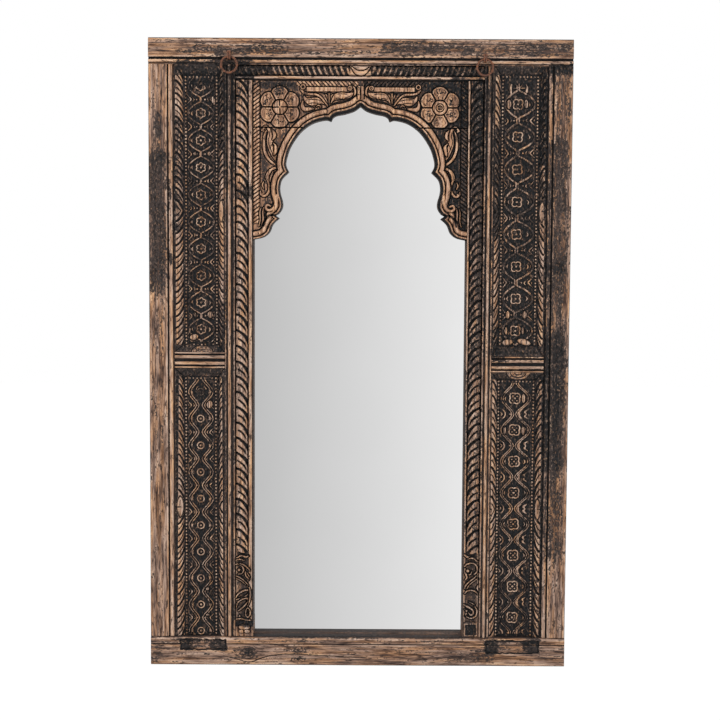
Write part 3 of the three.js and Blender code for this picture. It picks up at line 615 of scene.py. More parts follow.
WOOD_TONES = [(0.05, "#2E2623"), (0.3, "#5E4B43"), (0.5, "#8C7263"), (0.72, "#AC907F"), (0.95, "#CDB29F")]
RIDGE_TONES = [(0.05, "#5E4B43"), (0.35, "#A58672"), (0.6, "#CDAE97"), (0.95, "#E6CDB9")]
ARCH_TONES = [(0.05, "#2C211C"), (0.3, "#5E4538"), (0.5, "#8C6B57"), (0.72, "#AC866E"), (0.95, "#CDA98F")]
WARM_TONES = [(0.05, "#30231D"), (0.3, "#654837"), (0.5, "#967053"), (0.72, "#B98C69"), (0.95, "#D8B08A")]
BLACK_TONES = [(0.35, "#070809"), (0.65, "#232426")]
BROWN_TONES = [(0.35, "#1D1918"), (0.65, "#443B38")]
FLECK_TONE = "#2B2322"
# What makes the wood lighter, what keeps the dark paint on it, and what roughens it
# The hollow weight on lightness paints shade, darker wood in the hollows, and a painted highlight on the
# ridges along with rubbed wear
LIGHT_WEIGHTS = {"fibre": 1.8, "pores": 0.9, "patches": 0.6, "rings": 0.06, "hollow": -0.5}
COVER_WEIGHTS = {"patches": 1.2, "fibre": 1.7, "speckle": 1.4, "pores": 1.1, "hollow": 0.6, "paint": 1.0}
ROUGH_WEIGHTS = {"fibre": 0.6, "pores": 0.6, "speckle": 0.35}
TEAK_RINGS = 70.0
HOLLOW_PAINT = 0.8
# Limits of a pattern, and the amounts at them: warm wood, dark flecks, paint, black paint, chips in it
WARMTH, FLECKS, COVER = (0.43, 0.63, 0.0, 1.0), (0.56, 0.63, 0.0, 0.85), (0.42, 0.53, 0.0, 1.0)
BLACKNESS, CHIPS = (0.72, 1.0, 0.0, 1.0), (0.54, 0.66, 0.0, 0.5)
TEAK_ROUGH, PAINT_ROUGH = 0.7, -0.1
TEAK_BUMP = (1.0, 0.6)
TEAK_GLOSS = {"IOR": 1.45, "Specular_IOR_Level": 0.25}


# Old teak: grey-brown fibres, lighter on the ridges, partly rubbed wear and partly painted highlight,
# with painted shade darkening the wood in the hollows, and open pores as short dark streaks. A dark, dry
# paint is left in the hollows and in ragged patches.
def teak(name, upright, keeps_paint, tones=WOOD_TONES):
    material, tree = new_tree(name)
    of = {key: grain(tree, key, upright) for key in TEAK_GRAINS}
    for key in ("hollow", "paint"):
        of[key] = add_node(tree, "ShaderNodeAttribute", attribute_name=key).outputs["Fac"]
    ripple = add_node(tree, "ShaderNodeMath", (of["growth"], TEAK_RINGS), operation="MULTIPLY")
    of["rings"] = add_node(tree, "ShaderNodeMath", (ripple,), operation="SINE")
    # Lightness, with painted shade in the hollows and a painted highlight on the ridges from the hollow
    # weight
    light = weighted(tree, of, LIGHT_WEIGHTS)
    cover = weighted(tree, of, COVER_WEIGHTS, keeps_paint)
    deep = (of["hollow"], HOLLOW_PAINT, of["paint"])
    deep = add_node(tree, "ShaderNodeMath", deep, operation="MULTIPLY_ADD")
    sources = (of["clouds"], of["flecks"], cover, deep, of["chips"])
    limits = zip(sources, (WARMTH, FLECKS, COVER, BLACKNESS, CHIPS))
    amounts = [add_node(tree, "ShaderNodeMapRange", (source, *limit)) for source, limit in limits]
    warmth, fleck, painted, black, chip = amounts
    ramps = ((light, tones), (light, WARM_TONES), (of["speckle"], BROWN_TONES), (of["speckle"], BLACK_TONES))
    ramps = [add_node(tree, "ShaderNodeValToRGB", (source,), stops) for source, stops in ramps]
    wood, warm, brown, dark = ramps
    clean = add_node(tree, "ShaderNodeMix", {0: warmth, 6: wood, 7: warm}, data_type="RGBA").outputs[2]
    bare = {0: fleck, 6: clean, 7: linear(FLECK_TONE)}
    bare = add_node(tree, "ShaderNodeMix", bare, data_type="RGBA").outputs[2]
    coat = add_node(tree, "ShaderNodeMix", {0: black, 6: brown, 7: dark}, data_type="RGBA").outputs[2]
    coat = add_node(tree, "ShaderNodeMix", {0: chip, 6: coat, 7: clean}, data_type="RGBA").outputs[2]
    colour = add_node(tree, "ShaderNodeMix", {0: painted, 6: bare, 7: coat}, data_type="RGBA").outputs[2]
    rough = add_node(tree, "ShaderNodeMath", (painted, PAINT_ROUGH, TEAK_ROUGH), operation="MULTIPLY_ADD")
    surface(tree, colour, rough, (weighted(tree, of, ROUGH_WEIGHTS), *TEAK_BUMP), **TEAK_GLOSS)
    return material


RUST_TONES = [(0.3, "#3F2E29"), (0.48, "#6E4C3E"), (0.62, "#8E5B40"), (0.75, "#A9683C")]
RUST_ROUGH = (0.4, 0.45)
RUST_BUMP = (0.4, 0.6)
RUST_METALLIC = 0.35


# Wrought iron: hand-hammered bar with a thin skin of brown and orange rust
def rusty_iron():
    material, tree = new_tree("rusty_wrought_iron")
    grit = grain(tree, "grit")
    colour = add_node(tree, "ShaderNodeValToRGB", (grain(tree, "rust"),), RUST_TONES)
    rough = add_node(tree, "ShaderNodeMath", (grit, *RUST_ROUGH), operation="MULTIPLY_ADD")
    surface(tree, colour, rough, (grit, *RUST_BUMP), Metallic=RUST_METALLIC)
    return material


GLASS_TONES = [(0.3, "#F8F8F8"), (0.7, "#FAFAFA")]
GLASS_ROUGH = 0.015
GLASS_BUMP = (0.02, 0.2)


# Float glass silvered on its back: a clean mirror, very slightly wavy
def silvered_glass():
    material, tree = new_tree("silvered_float_glass")
    wave = grain(tree, "wave")
    colour = add_node(tree, "ShaderNodeValToRGB", (wave,), GLASS_TONES)
    surface(tree, colour, GLASS_ROUGH, (wave, *GLASS_BUMP), Metallic=1.0)
    return material


PINE_TONES = [(0.1, "#9C7648"), (0.5, "#C09A68"), (0.9, "#D8B988")]
PLYWOOD_TONES = [(0.1, "#A08258"), (0.5, "#B99A6C"), (0.9, "#CDB283")]
PINE_RINGS = 45.0
PINE_WEIGHTS = {"pine_fibre": 0.8, "rings": 0.14}
PINE_ROUGH = 0.72
PINE_BUMP = (0.5, 0.5)


# Sawn pine: pale wood with soft yellow early growth and thin darker late growth
def pine(name, tones, upright):
    material, tree = new_tree(name)
    of = {"pine_fibre": grain(tree, "pine_fibre", upright)}
    growth = (grain(tree, "pine_growth", upright), PINE_RINGS)
    ripple = add_node(tree, "ShaderNodeMath", growth, operation="MULTIPLY")
    of["rings"] = add_node(tree, "ShaderNodeMath", (ripple,), operation="SINE")
    colour = add_node(tree, "ShaderNodeValToRGB", (weighted(tree, of, PINE_WEIGHTS),), tones)
    surface(tree, colour, PINE_ROUGH, (of["pine_fibre"], *PINE_BUMP))
    return material


ZINC_TONES = [(0.3, "#9EA1A2"), (0.7, "#C0C3C3")]
ZINC_ROUGH = (0.25, 0.25)


# Zinc plate: bright grey metal with a faint mottled bloom
def zinc_plate():
    material, tree = new_tree("zinc_plated_steel")
    bloom = grain(tree, "bloom")
    colour = add_node(tree, "ShaderNodeValToRGB", (bloom,), ZINC_TONES)
    rough = add_node(tree, "ShaderNodeMath", (bloom, *ZINC_ROUGH), operation="MULTIPLY_ADD")
    surface(tree, colour, rough, Metallic=1.0)
    return material


# How each finish is made: an upright or a level board, and how much dark paint it keeps
FINISHES = {
    "teak_upright": (teak, "worn_teak_upright", True, 0.1),
    "teak_level": (teak, "worn_teak_level", False, 0.1),
    "teak_carved": (teak, "carved_teak_upright", True, 0.12),
    "teak_carved_level": (teak, "carved_teak_level", False, 0.12),
    "teak_arch": (teak, "carved_teak_arch", True, 0.1, ARCH_TONES),
    "teak_ridge": (teak, "rubbed_teak_ridges", True, 0.02, RIDGE_TONES),
    "rusty_iron": (rusty_iron,),
    "glass": (silvered_glass,),
    "pine": (pine, "sawn_pine", PINE_TONES, False),
    "pine_upright": (pine, "sawn_pine_upright", PINE_TONES, True),
    "plywood": (pine, "birch_plywood", PLYWOOD_TONES, True),
    "zinc": (zinc_plate,),
}
PALETTE = {}


def finish(name):
    """One of the object's materials, made when it is first asked for."""
    if name not in PALETTE:
        maker, *given = FINISHES[name]
        PALETTE[name] = maker(*given)
    return PALETTE[name]



def cover_node(node, material):
    """Gives a CAD node that stays in view its material."""
    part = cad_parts[node]
    part.data.materials.clear()
    part.data.materials.append(finish(material))


# Geometry nodes


ROW_INPUTS = [("Count", "Int", 10), ("Start", "Vector"), ("Pitch", "Vector")]
BEAD_INPUTS = [
    *ROW_INPUTS,
    ("Radius", "Float", 0.002), ("Unevenness", "Float", 0.0003), ("Seed", "Int", 1), ("Material", "Material"),
]
ROSETTE_INPUTS = [
    *ROW_INPUTS,
    ("Radius", "Float", 0.01), ("Line", "Float", 0.0016), ("Dot", "Float", 0.0022), ("Lobes", "Float", 4.0),
    ("Lobe Depth", "Float", 0.0012), ("Inner Dots", "Int", 0), ("Seed", "Int", 1), ("Material", "Material"),
]
RING_INPUTS = [
    ("Centre", "Vector"), ("Radius", "Float", 0.017), ("Bar", "Float", 0.0027),
    ("Unevenness", "Float", 0.0004), ("Material", "Material"),
]
BALL_FACETS = {"Segments": 8, "Rings": 6}
BEAD_SIZES = {"Min": (0.86, 0.8, 0.86), "Max": (1.06, 1.0, 1.1)}
ROSETTE_FACETS = 48
ROSETTE_LEAN = {"Min": (0, -0.12, 0), "Max": (0, 0.12, 0)}
LINE_FACETS = 6
DOT_SIZES = (0.7, 0.7, 0.7)
UPRIGHT = (QUARTER_TURN, 0, 0)
RING_FACETS = 72
BAR_FACETS = 14
DENTS = {"Scale": 160.0, "Detail": 2.0}


def node_tree(name, inputs):
    """A geometry tree with named inputs, each as (name, kind, default)."""
    tree = bpy.data.node_groups.new(name, "GeometryNodeTree")
    for label, kind, *default in inputs:
        socket = tree.interface.new_socket(name=label, in_out="INPUT", socket_type="NodeSocket" + kind)
        if default:
            socket.default_value = default[0]
    tree.interface.new_socket(name="Geometry", in_out="OUTPUT", socket_type="NodeSocketGeometry")
    return tree, add_node(tree, "NodeGroupInput").outputs


def finish_tree(tree, geometry, material):
    """Ends a tree with real geometry in its material."""
    real = add_node(tree, "GeometryNodeRealizeInstances", (geometry,))
    painted = add_node(tree, "GeometryNodeSetMaterial", {"Geometry": real, "Material": material})
    add_node(tree, "NodeGroupOutput", {"Geometry": painted})
    return tree


def run_tree(tree, name, settings):
    """The mesh that a geometry tree makes with these inputs."""
    holder = bpy.data.objects.new(name + "_maker", bpy.data.meshes.new(name + "_maker"))
    bpy.context.scene.collection.objects.link(holder)
    modifier = holder.modifiers.new("Make", "NODES")
    modifier.node_group = tree
    for item in tree.interface.items_tree:
        if item.in_out == "INPUT" and item.name in settings:
            modifier[item.identifier] = settings[item.name]
    evaluated = holder.evaluated_get(bpy.context.evaluated_depsgraph_get())
    mesh = bpy.data.meshes.new_from_object(evaluated)
    mesh.name = name
    holder.modifiers.remove(modifier)
    bpy.data.objects.remove(holder)
    return mesh


def bead_tree():
    """A straight row of small round beads, a little uneven, as a carver leaves them."""
    tree, given = node_tree("Carved Bead Row", BEAD_INPUTS)
    row = {"Count": given["Count"], "Start Location": given["Start"], "Offset": given["Pitch"]}
    line = add_node(tree, "GeometryNodeMeshLine", row, mode="OFFSET")
    spread = {0: (1, 0, 1), "Scale": given["Unevenness"]}
    spread = add_node(tree, "ShaderNodeVectorMath", spread, operation="SCALE")
    against = add_node(tree, "ShaderNodeVectorMath", {0: spread, "Scale": -1.0}, operation="SCALE")
    shift = {"Min": against, "Max": spread, "Seed": given["Seed"]}
    shift = add_node(tree, "FunctionNodeRandomValue", shift, data_type="FLOAT_VECTOR")
    moved = add_node(tree, "GeometryNodeSetPosition", {"Geometry": line, "Offset": shift})
    ball = add_node(tree, "GeometryNodeMeshUVSphere", {**BALL_FACETS, "Radius": given["Radius"]})
    smooth = add_node(tree, "GeometryNodeSetShadeSmooth", (ball,))
    size = {**BEAD_SIZES, "Seed": given["Seed"]}
    size = add_node(tree, "FunctionNodeRandomValue", size, data_type="FLOAT_VECTOR")
    copies = {"Points": moved, "Instance": smooth, "Scale": size}
    copies = add_node(tree, "GeometryNodeInstanceOnPoints", copies)
    return finish_tree(tree, copies, given["Material"])


def rosette_tree():
    """A row of rosettes: a ring of rounded lobes about a centre dot."""
    tree, given = node_tree("Carved Rosette Row", ROSETTE_INPUTS)
    circle = {"Vertices": ROSETTE_FACETS, "Radius": given["Radius"]}
    circle = add_node(tree, "GeometryNodeMeshCircle", circle)
    index = add_node(tree, "GeometryNodeInputIndex")
    turn = add_node(tree, "ShaderNodeMath", (index, math.tau / ROSETTE_FACETS), operation="MULTIPLY")
    petals = add_node(tree, "ShaderNodeMath", (turn, given["Lobes"]), operation="MULTIPLY")
    petals = add_node(tree, "ShaderNodeMath", (petals, HALF), operation="MULTIPLY")
    wave = add_node(tree, "ShaderNodeMath", (petals,), operation="SINE")
    wave = add_node(tree, "ShaderNodeMath", (wave,), operation="ABSOLUTE")
    wave = add_node(tree, "ShaderNodeMath", (wave, 1.0), operation="SUBTRACT")
    dip = add_node(tree, "ShaderNodeMath", (wave, given["Lobe Depth"]), operation="MULTIPLY")
    place = add_node(tree, "GeometryNodeInputPosition")
    direction = add_node(tree, "ShaderNodeVectorMath", (place,), operation="NORMALIZE")
    move = add_node(tree, "ShaderNodeVectorMath", {0: direction, "Scale": dip}, operation="SCALE")
    lobed = add_node(tree, "GeometryNodeSetPosition", {"Geometry": circle, "Offset": move})
    path = add_node(tree, "GeometryNodeMeshToCurve", {"Mesh": lobed})
    section = {"Resolution": LINE_FACETS, "Radius": given["Line"]}
    section = add_node(tree, "GeometryNodeCurvePrimitiveCircle", section)
    ring = add_node(tree, "GeometryNodeCurveToMesh", {"Curve": path, "Profile Curve": section})
    dot = add_node(tree, "GeometryNodeMeshUVSphere", {**BALL_FACETS, "Radius": given["Dot"]})
    step = add_node(tree, "ShaderNodeMath", (math.tau, given["Inner Dots"]), operation="DIVIDE")
    around = add_node(tree, "ShaderNodeMath", (index, step, QUARTER_TURN / 2), operation="MULTIPLY_ADD")
    inner = add_node(tree, "ShaderNodeMath", (given["Radius"], HALF), operation="MULTIPLY")
    spot = []
    for wave in ("COSINE", "SINE"):
        part = add_node(tree, "ShaderNodeMath", (around,), operation=wave)
        spot.append(add_node(tree, "ShaderNodeMath", (inner, part), operation="MULTIPLY"))
    spot = add_node(tree, "ShaderNodeCombineXYZ", spot)
    spots = add_node(tree, "GeometryNodePoints", {"Count": given["Inner Dots"], "Position": spot})
    small = {"Points": spots, "Instance": dot, "Scale": DOT_SIZES}
    small = add_node(tree, "GeometryNodeInstanceOnPoints", small)
    both = add_node(tree, "GeometryNodeJoinGeometry")
    for part in (ring, dot, small):
        tree.links.new(part.outputs[0], both.inputs[0])
    smooth = add_node(tree, "GeometryNodeSetShadeSmooth", (both,))
    stand = add_node(tree, "GeometryNodeTransform", {"Geometry": smooth, "Rotation": UPRIGHT})
    row = {"Count": given["Count"], "Start Location": given["Start"], "Offset": given["Pitch"]}
    line = add_node(tree, "GeometryNodeMeshLine", row, mode="OFFSET")
    lean = {**ROSETTE_LEAN, "Seed": given["Seed"]}
    lean = add_node(tree, "FunctionNodeRandomValue", lean, data_type="FLOAT_VECTOR")
    copies = {"Points": line, "Instance": stand, "Rotation": lean}
    copies = add_node(tree, "GeometryNodeInstanceOnPoints", copies)
    return finish_tree(tree, copies, given["Material"])


def ring_tree():
    """A hammered iron ring: a round bar bent to a circle, with the unevenness of the forge."""
    tree, given = node_tree("Forged Ring", RING_INPUTS)
    circle = {"Resolution": RING_FACETS, "Radius": given["Radius"]}
    circle = add_node(tree, "GeometryNodeCurvePrimitiveCircle", circle)
    section = {"Resolution": BAR_FACETS, "Radius": given["Bar"]}
    section = add_node(tree, "GeometryNodeCurvePrimitiveCircle", section)
    bar = add_node(tree, "GeometryNodeCurveToMesh", {"Curve": circle, "Profile Curve": section})
    dents = add_node(tree, "ShaderNodeTexNoise", DENTS)
    depth = add_node(tree, "ShaderNodeMath", (dents, given["Unevenness"]), operation="MULTIPLY")
    depth = add_node(tree, "ShaderNodeMath", (depth, -1.0), operation="MULTIPLY")
    normal = add_node(tree, "GeometryNodeInputNormal")
    move = add_node(tree, "ShaderNodeVectorMath", {0: normal, "Scale": depth}, operation="SCALE")
    dented = add_node(tree, "GeometryNodeSetPosition", {"Geometry": bar, "Offset": move})
    smooth = add_node(tree, "GeometryNodeSetShadeSmooth", (dented,))
    stand = {"Geometry": smooth, "Rotation": UPRIGHT, "Translation": given["Centre"]}
    stand = add_node(tree, "GeometryNodeTransform", stand)
    return finish_tree(tree, stand, given["Material"])


TREE_MAKERS = {"beads": bead_tree, "rosettes": rosette_tree, "ring": ring_tree}
TREES = {}


def tree_named(name):
    if name not in TREES:
        TREES[name] = TREE_MAKERS[name]()
    return TREES[name]


# The most dark paint left on one bead of a long row, of an end row, and on one rosette
BEAD_DULL = 0.22
END_BEAD_DULL = 0.6
ROSETTE_DULL = 0.3
ROSETTE_SEAT = 1.6
ROSETTE_DOT = 2.2
BEAD_UNEVENNESS = 0.25
END_ROWS_FROM = 5


def metres(across, out, up):
    return [float(value) for value in to_metres(np.array(across), np.array(out), np.array(up))]


def dull(mesh, name, copies, most, seed):
    """Leaves dark paint on some of a row's copies, more of it in the patches named for them."""
    places = np.empty(len(mesh.vertices) * 3, np.float32)
    mesh.vertices.foreach_get("co", places)
    across, up = places[0::3] / MM, places[2::3] / MM - FRAME_FOOT
    each = np.random.default_rng(seed).uniform(0, most, copies)
    kept = np.repeat(each, len(mesh.vertices) // copies)
    for left, foot, right, head, amount, soft in STAINS.get(name, ()):
        for place, start, end in ((across, left, right), (up, foot, head)):
            amount = amount * share(place, start - soft, start + soft)
            amount = amount * (1 - share(place, end - soft, end + soft))
        kept += amount
    layer = mesh.attributes.new("paint", "FLOAT", "POINT")
    layer.data.foreach_set("value", kept.astype(np.float32))


def bead_rows(name, start, sign, lines, heights, ends, level, sizes):
    """The two long rows of beads beside a panel's field, and a short row across its ends."""
    radius = sizes.bead_diameter / MM / 2
    pitch = sizes.bead_pitch / MM
    low, high = heights
    count = int((high - low) / pitch)
    rows = []
    for number, line in enumerate(lines):
        first = metres(start + sign * line, level + radius * HALF, low + radius)
        rows.append((first, [0.0, 0.0, (high - low - 2 * radius) / count * MM], count + 1, number, BEAD_DULL))
    first_line, last_line = lines
    wide = last_line - first_line
    count = int(wide / pitch)
    step = wide / count
    for number, end in enumerate(ends, END_ROWS_FROM):
        first = metres(start + sign * (first_line + step), level + radius * HALF, end - radius)
        rows.append((first, [sign * step * MM, 0.0, 0.0], count - 1, number, END_BEAD_DULL))
    for first, step, count, number, most in rows:
        settings = {"Count": count, "Start": first, "Pitch": step, "Radius": sizes.bead_diameter / 2}
        settings["Unevenness"] = BEAD_UNEVENNESS * MM
        settings["Seed"] = number + len(name)
        settings["Material"] = finish("teak_ridge")
        mesh = run_tree(tree_named("beads"), name + "_beads_" + str(number), settings)
        dull(mesh, name + "_beads", count, most, number + len(name))
        piece(mesh.name, mesh, "teak_ridge")


def rosette_row(name, line, places, level, style):
    """The rosettes down the middle of a panel's field."""
    settings = {"Count": len(places), "Start": metres(line, level + ROSETTE_SEAT, places[0])}
    settings["Pitch"] = [0.0, 0.0, -style["pitch"] * MM]
    settings["Radius"] = (style["rosette"] - style["ring"]) * MM
    settings["Line"] = style["ring"] * MM
    settings["Dot"] = ROSETTE_DOT * MM
    settings["Lobes"] = float(style["lobes"])
    settings["Lobe Depth"] = style["lobe_depth"] * MM
    settings["Inner Dots"] = style["inner_dots"]
    settings["Seed"] = len(name)
    settings["Material"] = finish("teak_ridge")
    mesh = run_tree(tree_named("rosettes"), name + "_rosettes", settings)
    dull(mesh, name + "_rosettes", len(places), ROSETTE_DULL, len(name))
    piece(mesh.name, mesh, "teak_ridge")


# Plain timbers


PLANK_STEP = (1.5, 1.0)
UPRIGHT_STEP = (1.0, 2.0)
STRIP_STEP = (0.8, 3.0)
MID_STEP = (1.2, 0.8)
FILLET_LEVEL = BOX_FRONT - FILLET_DEPTH
# Weathered fibres: width and length of the furrows along the grain, narrow and broad
FURROWS = ((2.4, 90.0), (9.0, 260.0))
STILE_FURROWS, STRIP_FURROWS, TOP_FURROWS, SILL_FURROWS, MID_FURROWS = 0.35, 0.3, 0.4, 0.5, 0.35
TOP_SEED, SILL_SEED, TOP_KNOT_SEED, SILL_KNOT_SEED = 51, 61, 200, 300
STILE_SEEDS = {"left": 11, "right": 21}
STRIP_SEEDS = {"left": 31, "right": 41}
MID_SEEDS = {"left": 71, "right": 72}

# Sections as places from an edge and levels from the box's front
STILE_OUTER = [(0.0, -3.0), (1.5, -0.4), (4.0, 0.0)]
STILE_INNER = [
    (-15.0, 0.0), (-14.4, -GROOVE_DEPTH), (-12.0, -GROOVE_DEPTH), (-11.0, -2.0), (-9.5, -1.2),
    (-5.0, -1.2), (-3.6, -2.0), (-2.6, -GROOVE_DEPTH), (0.0, -GROOVE_DEPTH),
]
TOP_LIP = [(0.0, -FILLET_DEPTH), (2.0, -FILLET_DEPTH), (2.5, -GROOVE_DEPTH)]
TOP_LIP += bead(3.0, 11.0, -GROOVE_DEPTH, -1.0) + [(12.0, -7.0), (15.0, -7.0), (16.0, -0.6), (18.0, 0.0)]
TOP_EDGE = [(-13.0, 0.0), (-12.0, -1.4), (-3.0, -1.6), (0.0, -5.0)]
SILL_FOOT = [(0.0, -3.0), (3.0, 0.0)]
SILL_HEAD = [(-18.0, 0.0), (-17.2, -3.0), (-15.8, -3.0), (-15.0, 0.0), (-5.0, 0.0), (0.0, -5.0)]
MID_VALLEY = -8.0
MID_HALF = [(0.0, -5.0), (0.6, -3.0), (3.0, -3.0), (3.6, MID_VALLEY), (6.2, MID_VALLEY)]
MID_HALF += bead(6.4, 14.0, MID_VALLEY, -1.0) + [(14.2, MID_VALLEY)]


def grain_ridges(relief, upright, amount, seed):
    """Weathered fibres: long shallow furrows along the grain."""
    for number, (wide, long) in enumerate(FURROWS):
        cell = (wide, long) if upright else (long, wide)
        relief.weather(amount, *cell, seed + number)


def stile(side):
    edges, strip = Edges("outer_stile_" + side), Edges("rib_strip_" + side)
    edges.foot, edges.head = strip.foot, strip.head
    relief = Relief(0.0, edges.foot, edges.width, edges.head, UPRIGHT_STEP, BOX_FRONT)
    relief.lay_section(shifted(STILE_OUTER, 0.0) + shifted(STILE_INNER, edges.width), True)
    grain_ridges(relief, True, STILE_FURROWS, STILE_SEEDS[side])
    relief.settle(side, edges)
    carved_board("outer_stile_" + side, relief, edges, "teak_upright")


FILLET_PAINT = 0.3
FILLET_EDGE = 0.5
RIB_GAP = 0.2
# Places across a rib strip from the panel's side: the end of the fillet, the rib, the inner fillet
RIB_LINES = {"left": (3.8, 6.4, 13.8, 18.6, 21.8), "right": (3.0, 6.7, 13.5, 17.5, 20.2)}


def rib_strip(side):
    edges = Edges("rib_strip_" + side)
    relief = Relief(0.0, edges.foot, edges.width, edges.head, STRIP_STEP, BOX_FRONT)
    low = BOX_FRONT - GROOVE_DEPTH
    fillet, rib_start, rib_end, inner_start, inner_end = RIB_LINES[side]
    section = [(0.0, low), (FILLET_EDGE, FILLET_LEVEL), (fillet, FILLET_LEVEL)]
    section += [(fillet + FILLET_EDGE, low), (rib_start, low)]
    section += bead(rib_start + RIB_GAP, rib_end, low, BOX_FRONT)
    section += [(rib_end + RIB_GAP, low), (inner_start - FILLET_EDGE, low), (inner_start, FILLET_LEVEL)]
    section += [(inner_end, FILLET_LEVEL), (inner_end + FILLET_EDGE, low), (edges.width, low)]
    relief.lay_section(section, True)
    in_fillets = (relief.across < fillet + FILLET_EDGE) | (relief.across > inner_start - FILLET_EDGE)
    relief.paint[:] = np.where(in_fillets, FILLET_PAINT, 0)
    grain_ridges(relief, True, STRIP_FURROWS, STRIP_SEEDS[side])
    relief.settle(side, edges)
    carved_board("rib_strip_" + side, relief, edges, "teak_upright")


# Knots and arched grain: across, up, half width, half height, rings and how dark they are
RAIL_FIGURES = [
    (-334, 1328, 26, 11, 3, 0.6), (-195, 1327, 48, 15, 4, 0.5), (-60, 1316, 105, 20, 4, 0.34),
    (96, 1334, 70, 14, 3, 0.34), (330, 1326, 70, 18, 3, 0.3),
]


def top_rail():
    edges = Edges("top_rail")
    relief = Relief(edges.left, edges.foot, edges.right, edges.head, PLANK_STEP, BOX_FRONT)
    relief.lay_section(shifted(TOP_LIP, edges.foot) + shifted(TOP_EDGE, edges.head), False)
    grain_ridges(relief, False, TOP_FURROWS, TOP_SEED)
    for number, mark in enumerate(RAIL_FIGURES):
        relief.figure(*mark, TOP_KNOT_SEED + number)
    carved_board("top_rail", relief, edges, "teak_level", upright=False)


SILL_CRACK = [
    (-292.5, 20.1, 0.6), (-265.8, 13.8, 0.8), (-235.2, 6.4, 1), (-211.2, 14.8, 1), (-185.4, 21.6, 0.9),
    (-145.6, 24.3, 0.9), (-58, 21, 0.6), (30, 16, 0.4),
]
SILL_CRACK_DEPTH = 3.0
SILL_KNOTS = [(-237.4, 28.1, 11), (-128.5, 33, 6), (-128.5, 12.7, 6)]
# A knot's half width and height in radii, its rings and how dark they are
KNOT_SPREAD = (3.4, 1.7)
KNOT_RINGS = (3, 0.5)
KNOT_RING = (2.0, 0.4)
KNOT_DISH = 1.5
# Old housings filled with blocks: left, foot, right and head
HOUSINGS = [(-386, 33, -286, 56), (278, 28, 394, 57)]
HOUSING_DEPTH = 2.0
HOUSING_GAP = 1.5
HOUSING_CELLS = (12, 160)


def bottom_rail():
    edges = Edges("bottom_rail")
    relief = Relief(edges.left, edges.foot, edges.right, edges.head, PLANK_STEP, BOX_FRONT)
    relief.lay_section(shifted(SILL_FOOT, edges.foot) + shifted(SILL_HEAD, edges.head), False)
    grain_ridges(relief, False, SILL_FURROWS, SILL_SEED)
    relief.groove(SILL_CRACK, SILL_CRACK_DEPTH)
    for number, (across, up, radius) in enumerate(SILL_KNOTS):
        half_across, half_up = (part * radius for part in KNOT_SPREAD)
        relief.figure(across, up, half_across, half_up, *KNOT_RINGS, SILL_KNOT_SEED + number)
        relief.ring(across, up, radius, *KNOT_RING)
        relief.dish(across, up, radius * HALF, KNOT_DISH)
    across, up = relief.grid()
    for left, low, right, high in HOUSINGS:
        inside = np.minimum(np.minimum(across - left, right - across), np.minimum(up - low, high - up))
        inside = inside + HOUSING_GAP * noise(relief.out.shape, HOUSING_CELLS, round(right + STAIN_SEED))
        level = np.minimum(relief.out, BOX_FRONT - HOUSING_DEPTH)
        relief.out = np.where(inside > 0, level, relief.out)
        line = share(inside, -HALF, HALF) * (1 - share(inside, HOUSING_GAP, HOUSING_GAP + 1))
        relief.out -= HOUSING_GAP * line
        relief.paint = np.maximum(relief.paint, INK * line)
    carved_board("bottom_rail", relief, edges, "teak_level", upright=False)


def mid_rail(side):
    edges = Edges("mid_rail_" + side)
    relief = Relief(edges.left, edges.foot, edges.right, edges.head, MID_STEP, BOX_FRONT)
    section = shifted(MID_HALF, edges.foot)
    section += [(edges.head - place, BOX_FRONT + level) for place, level in reversed(MID_HALF)]
    relief.lay_section(section, False)
    grain_ridges(relief, False, MID_FURROWS, MID_SEEDS[side])
    carved_board("mid_rail_" + side, relief, edges, "teak_level", upright=False)



# Carved panels


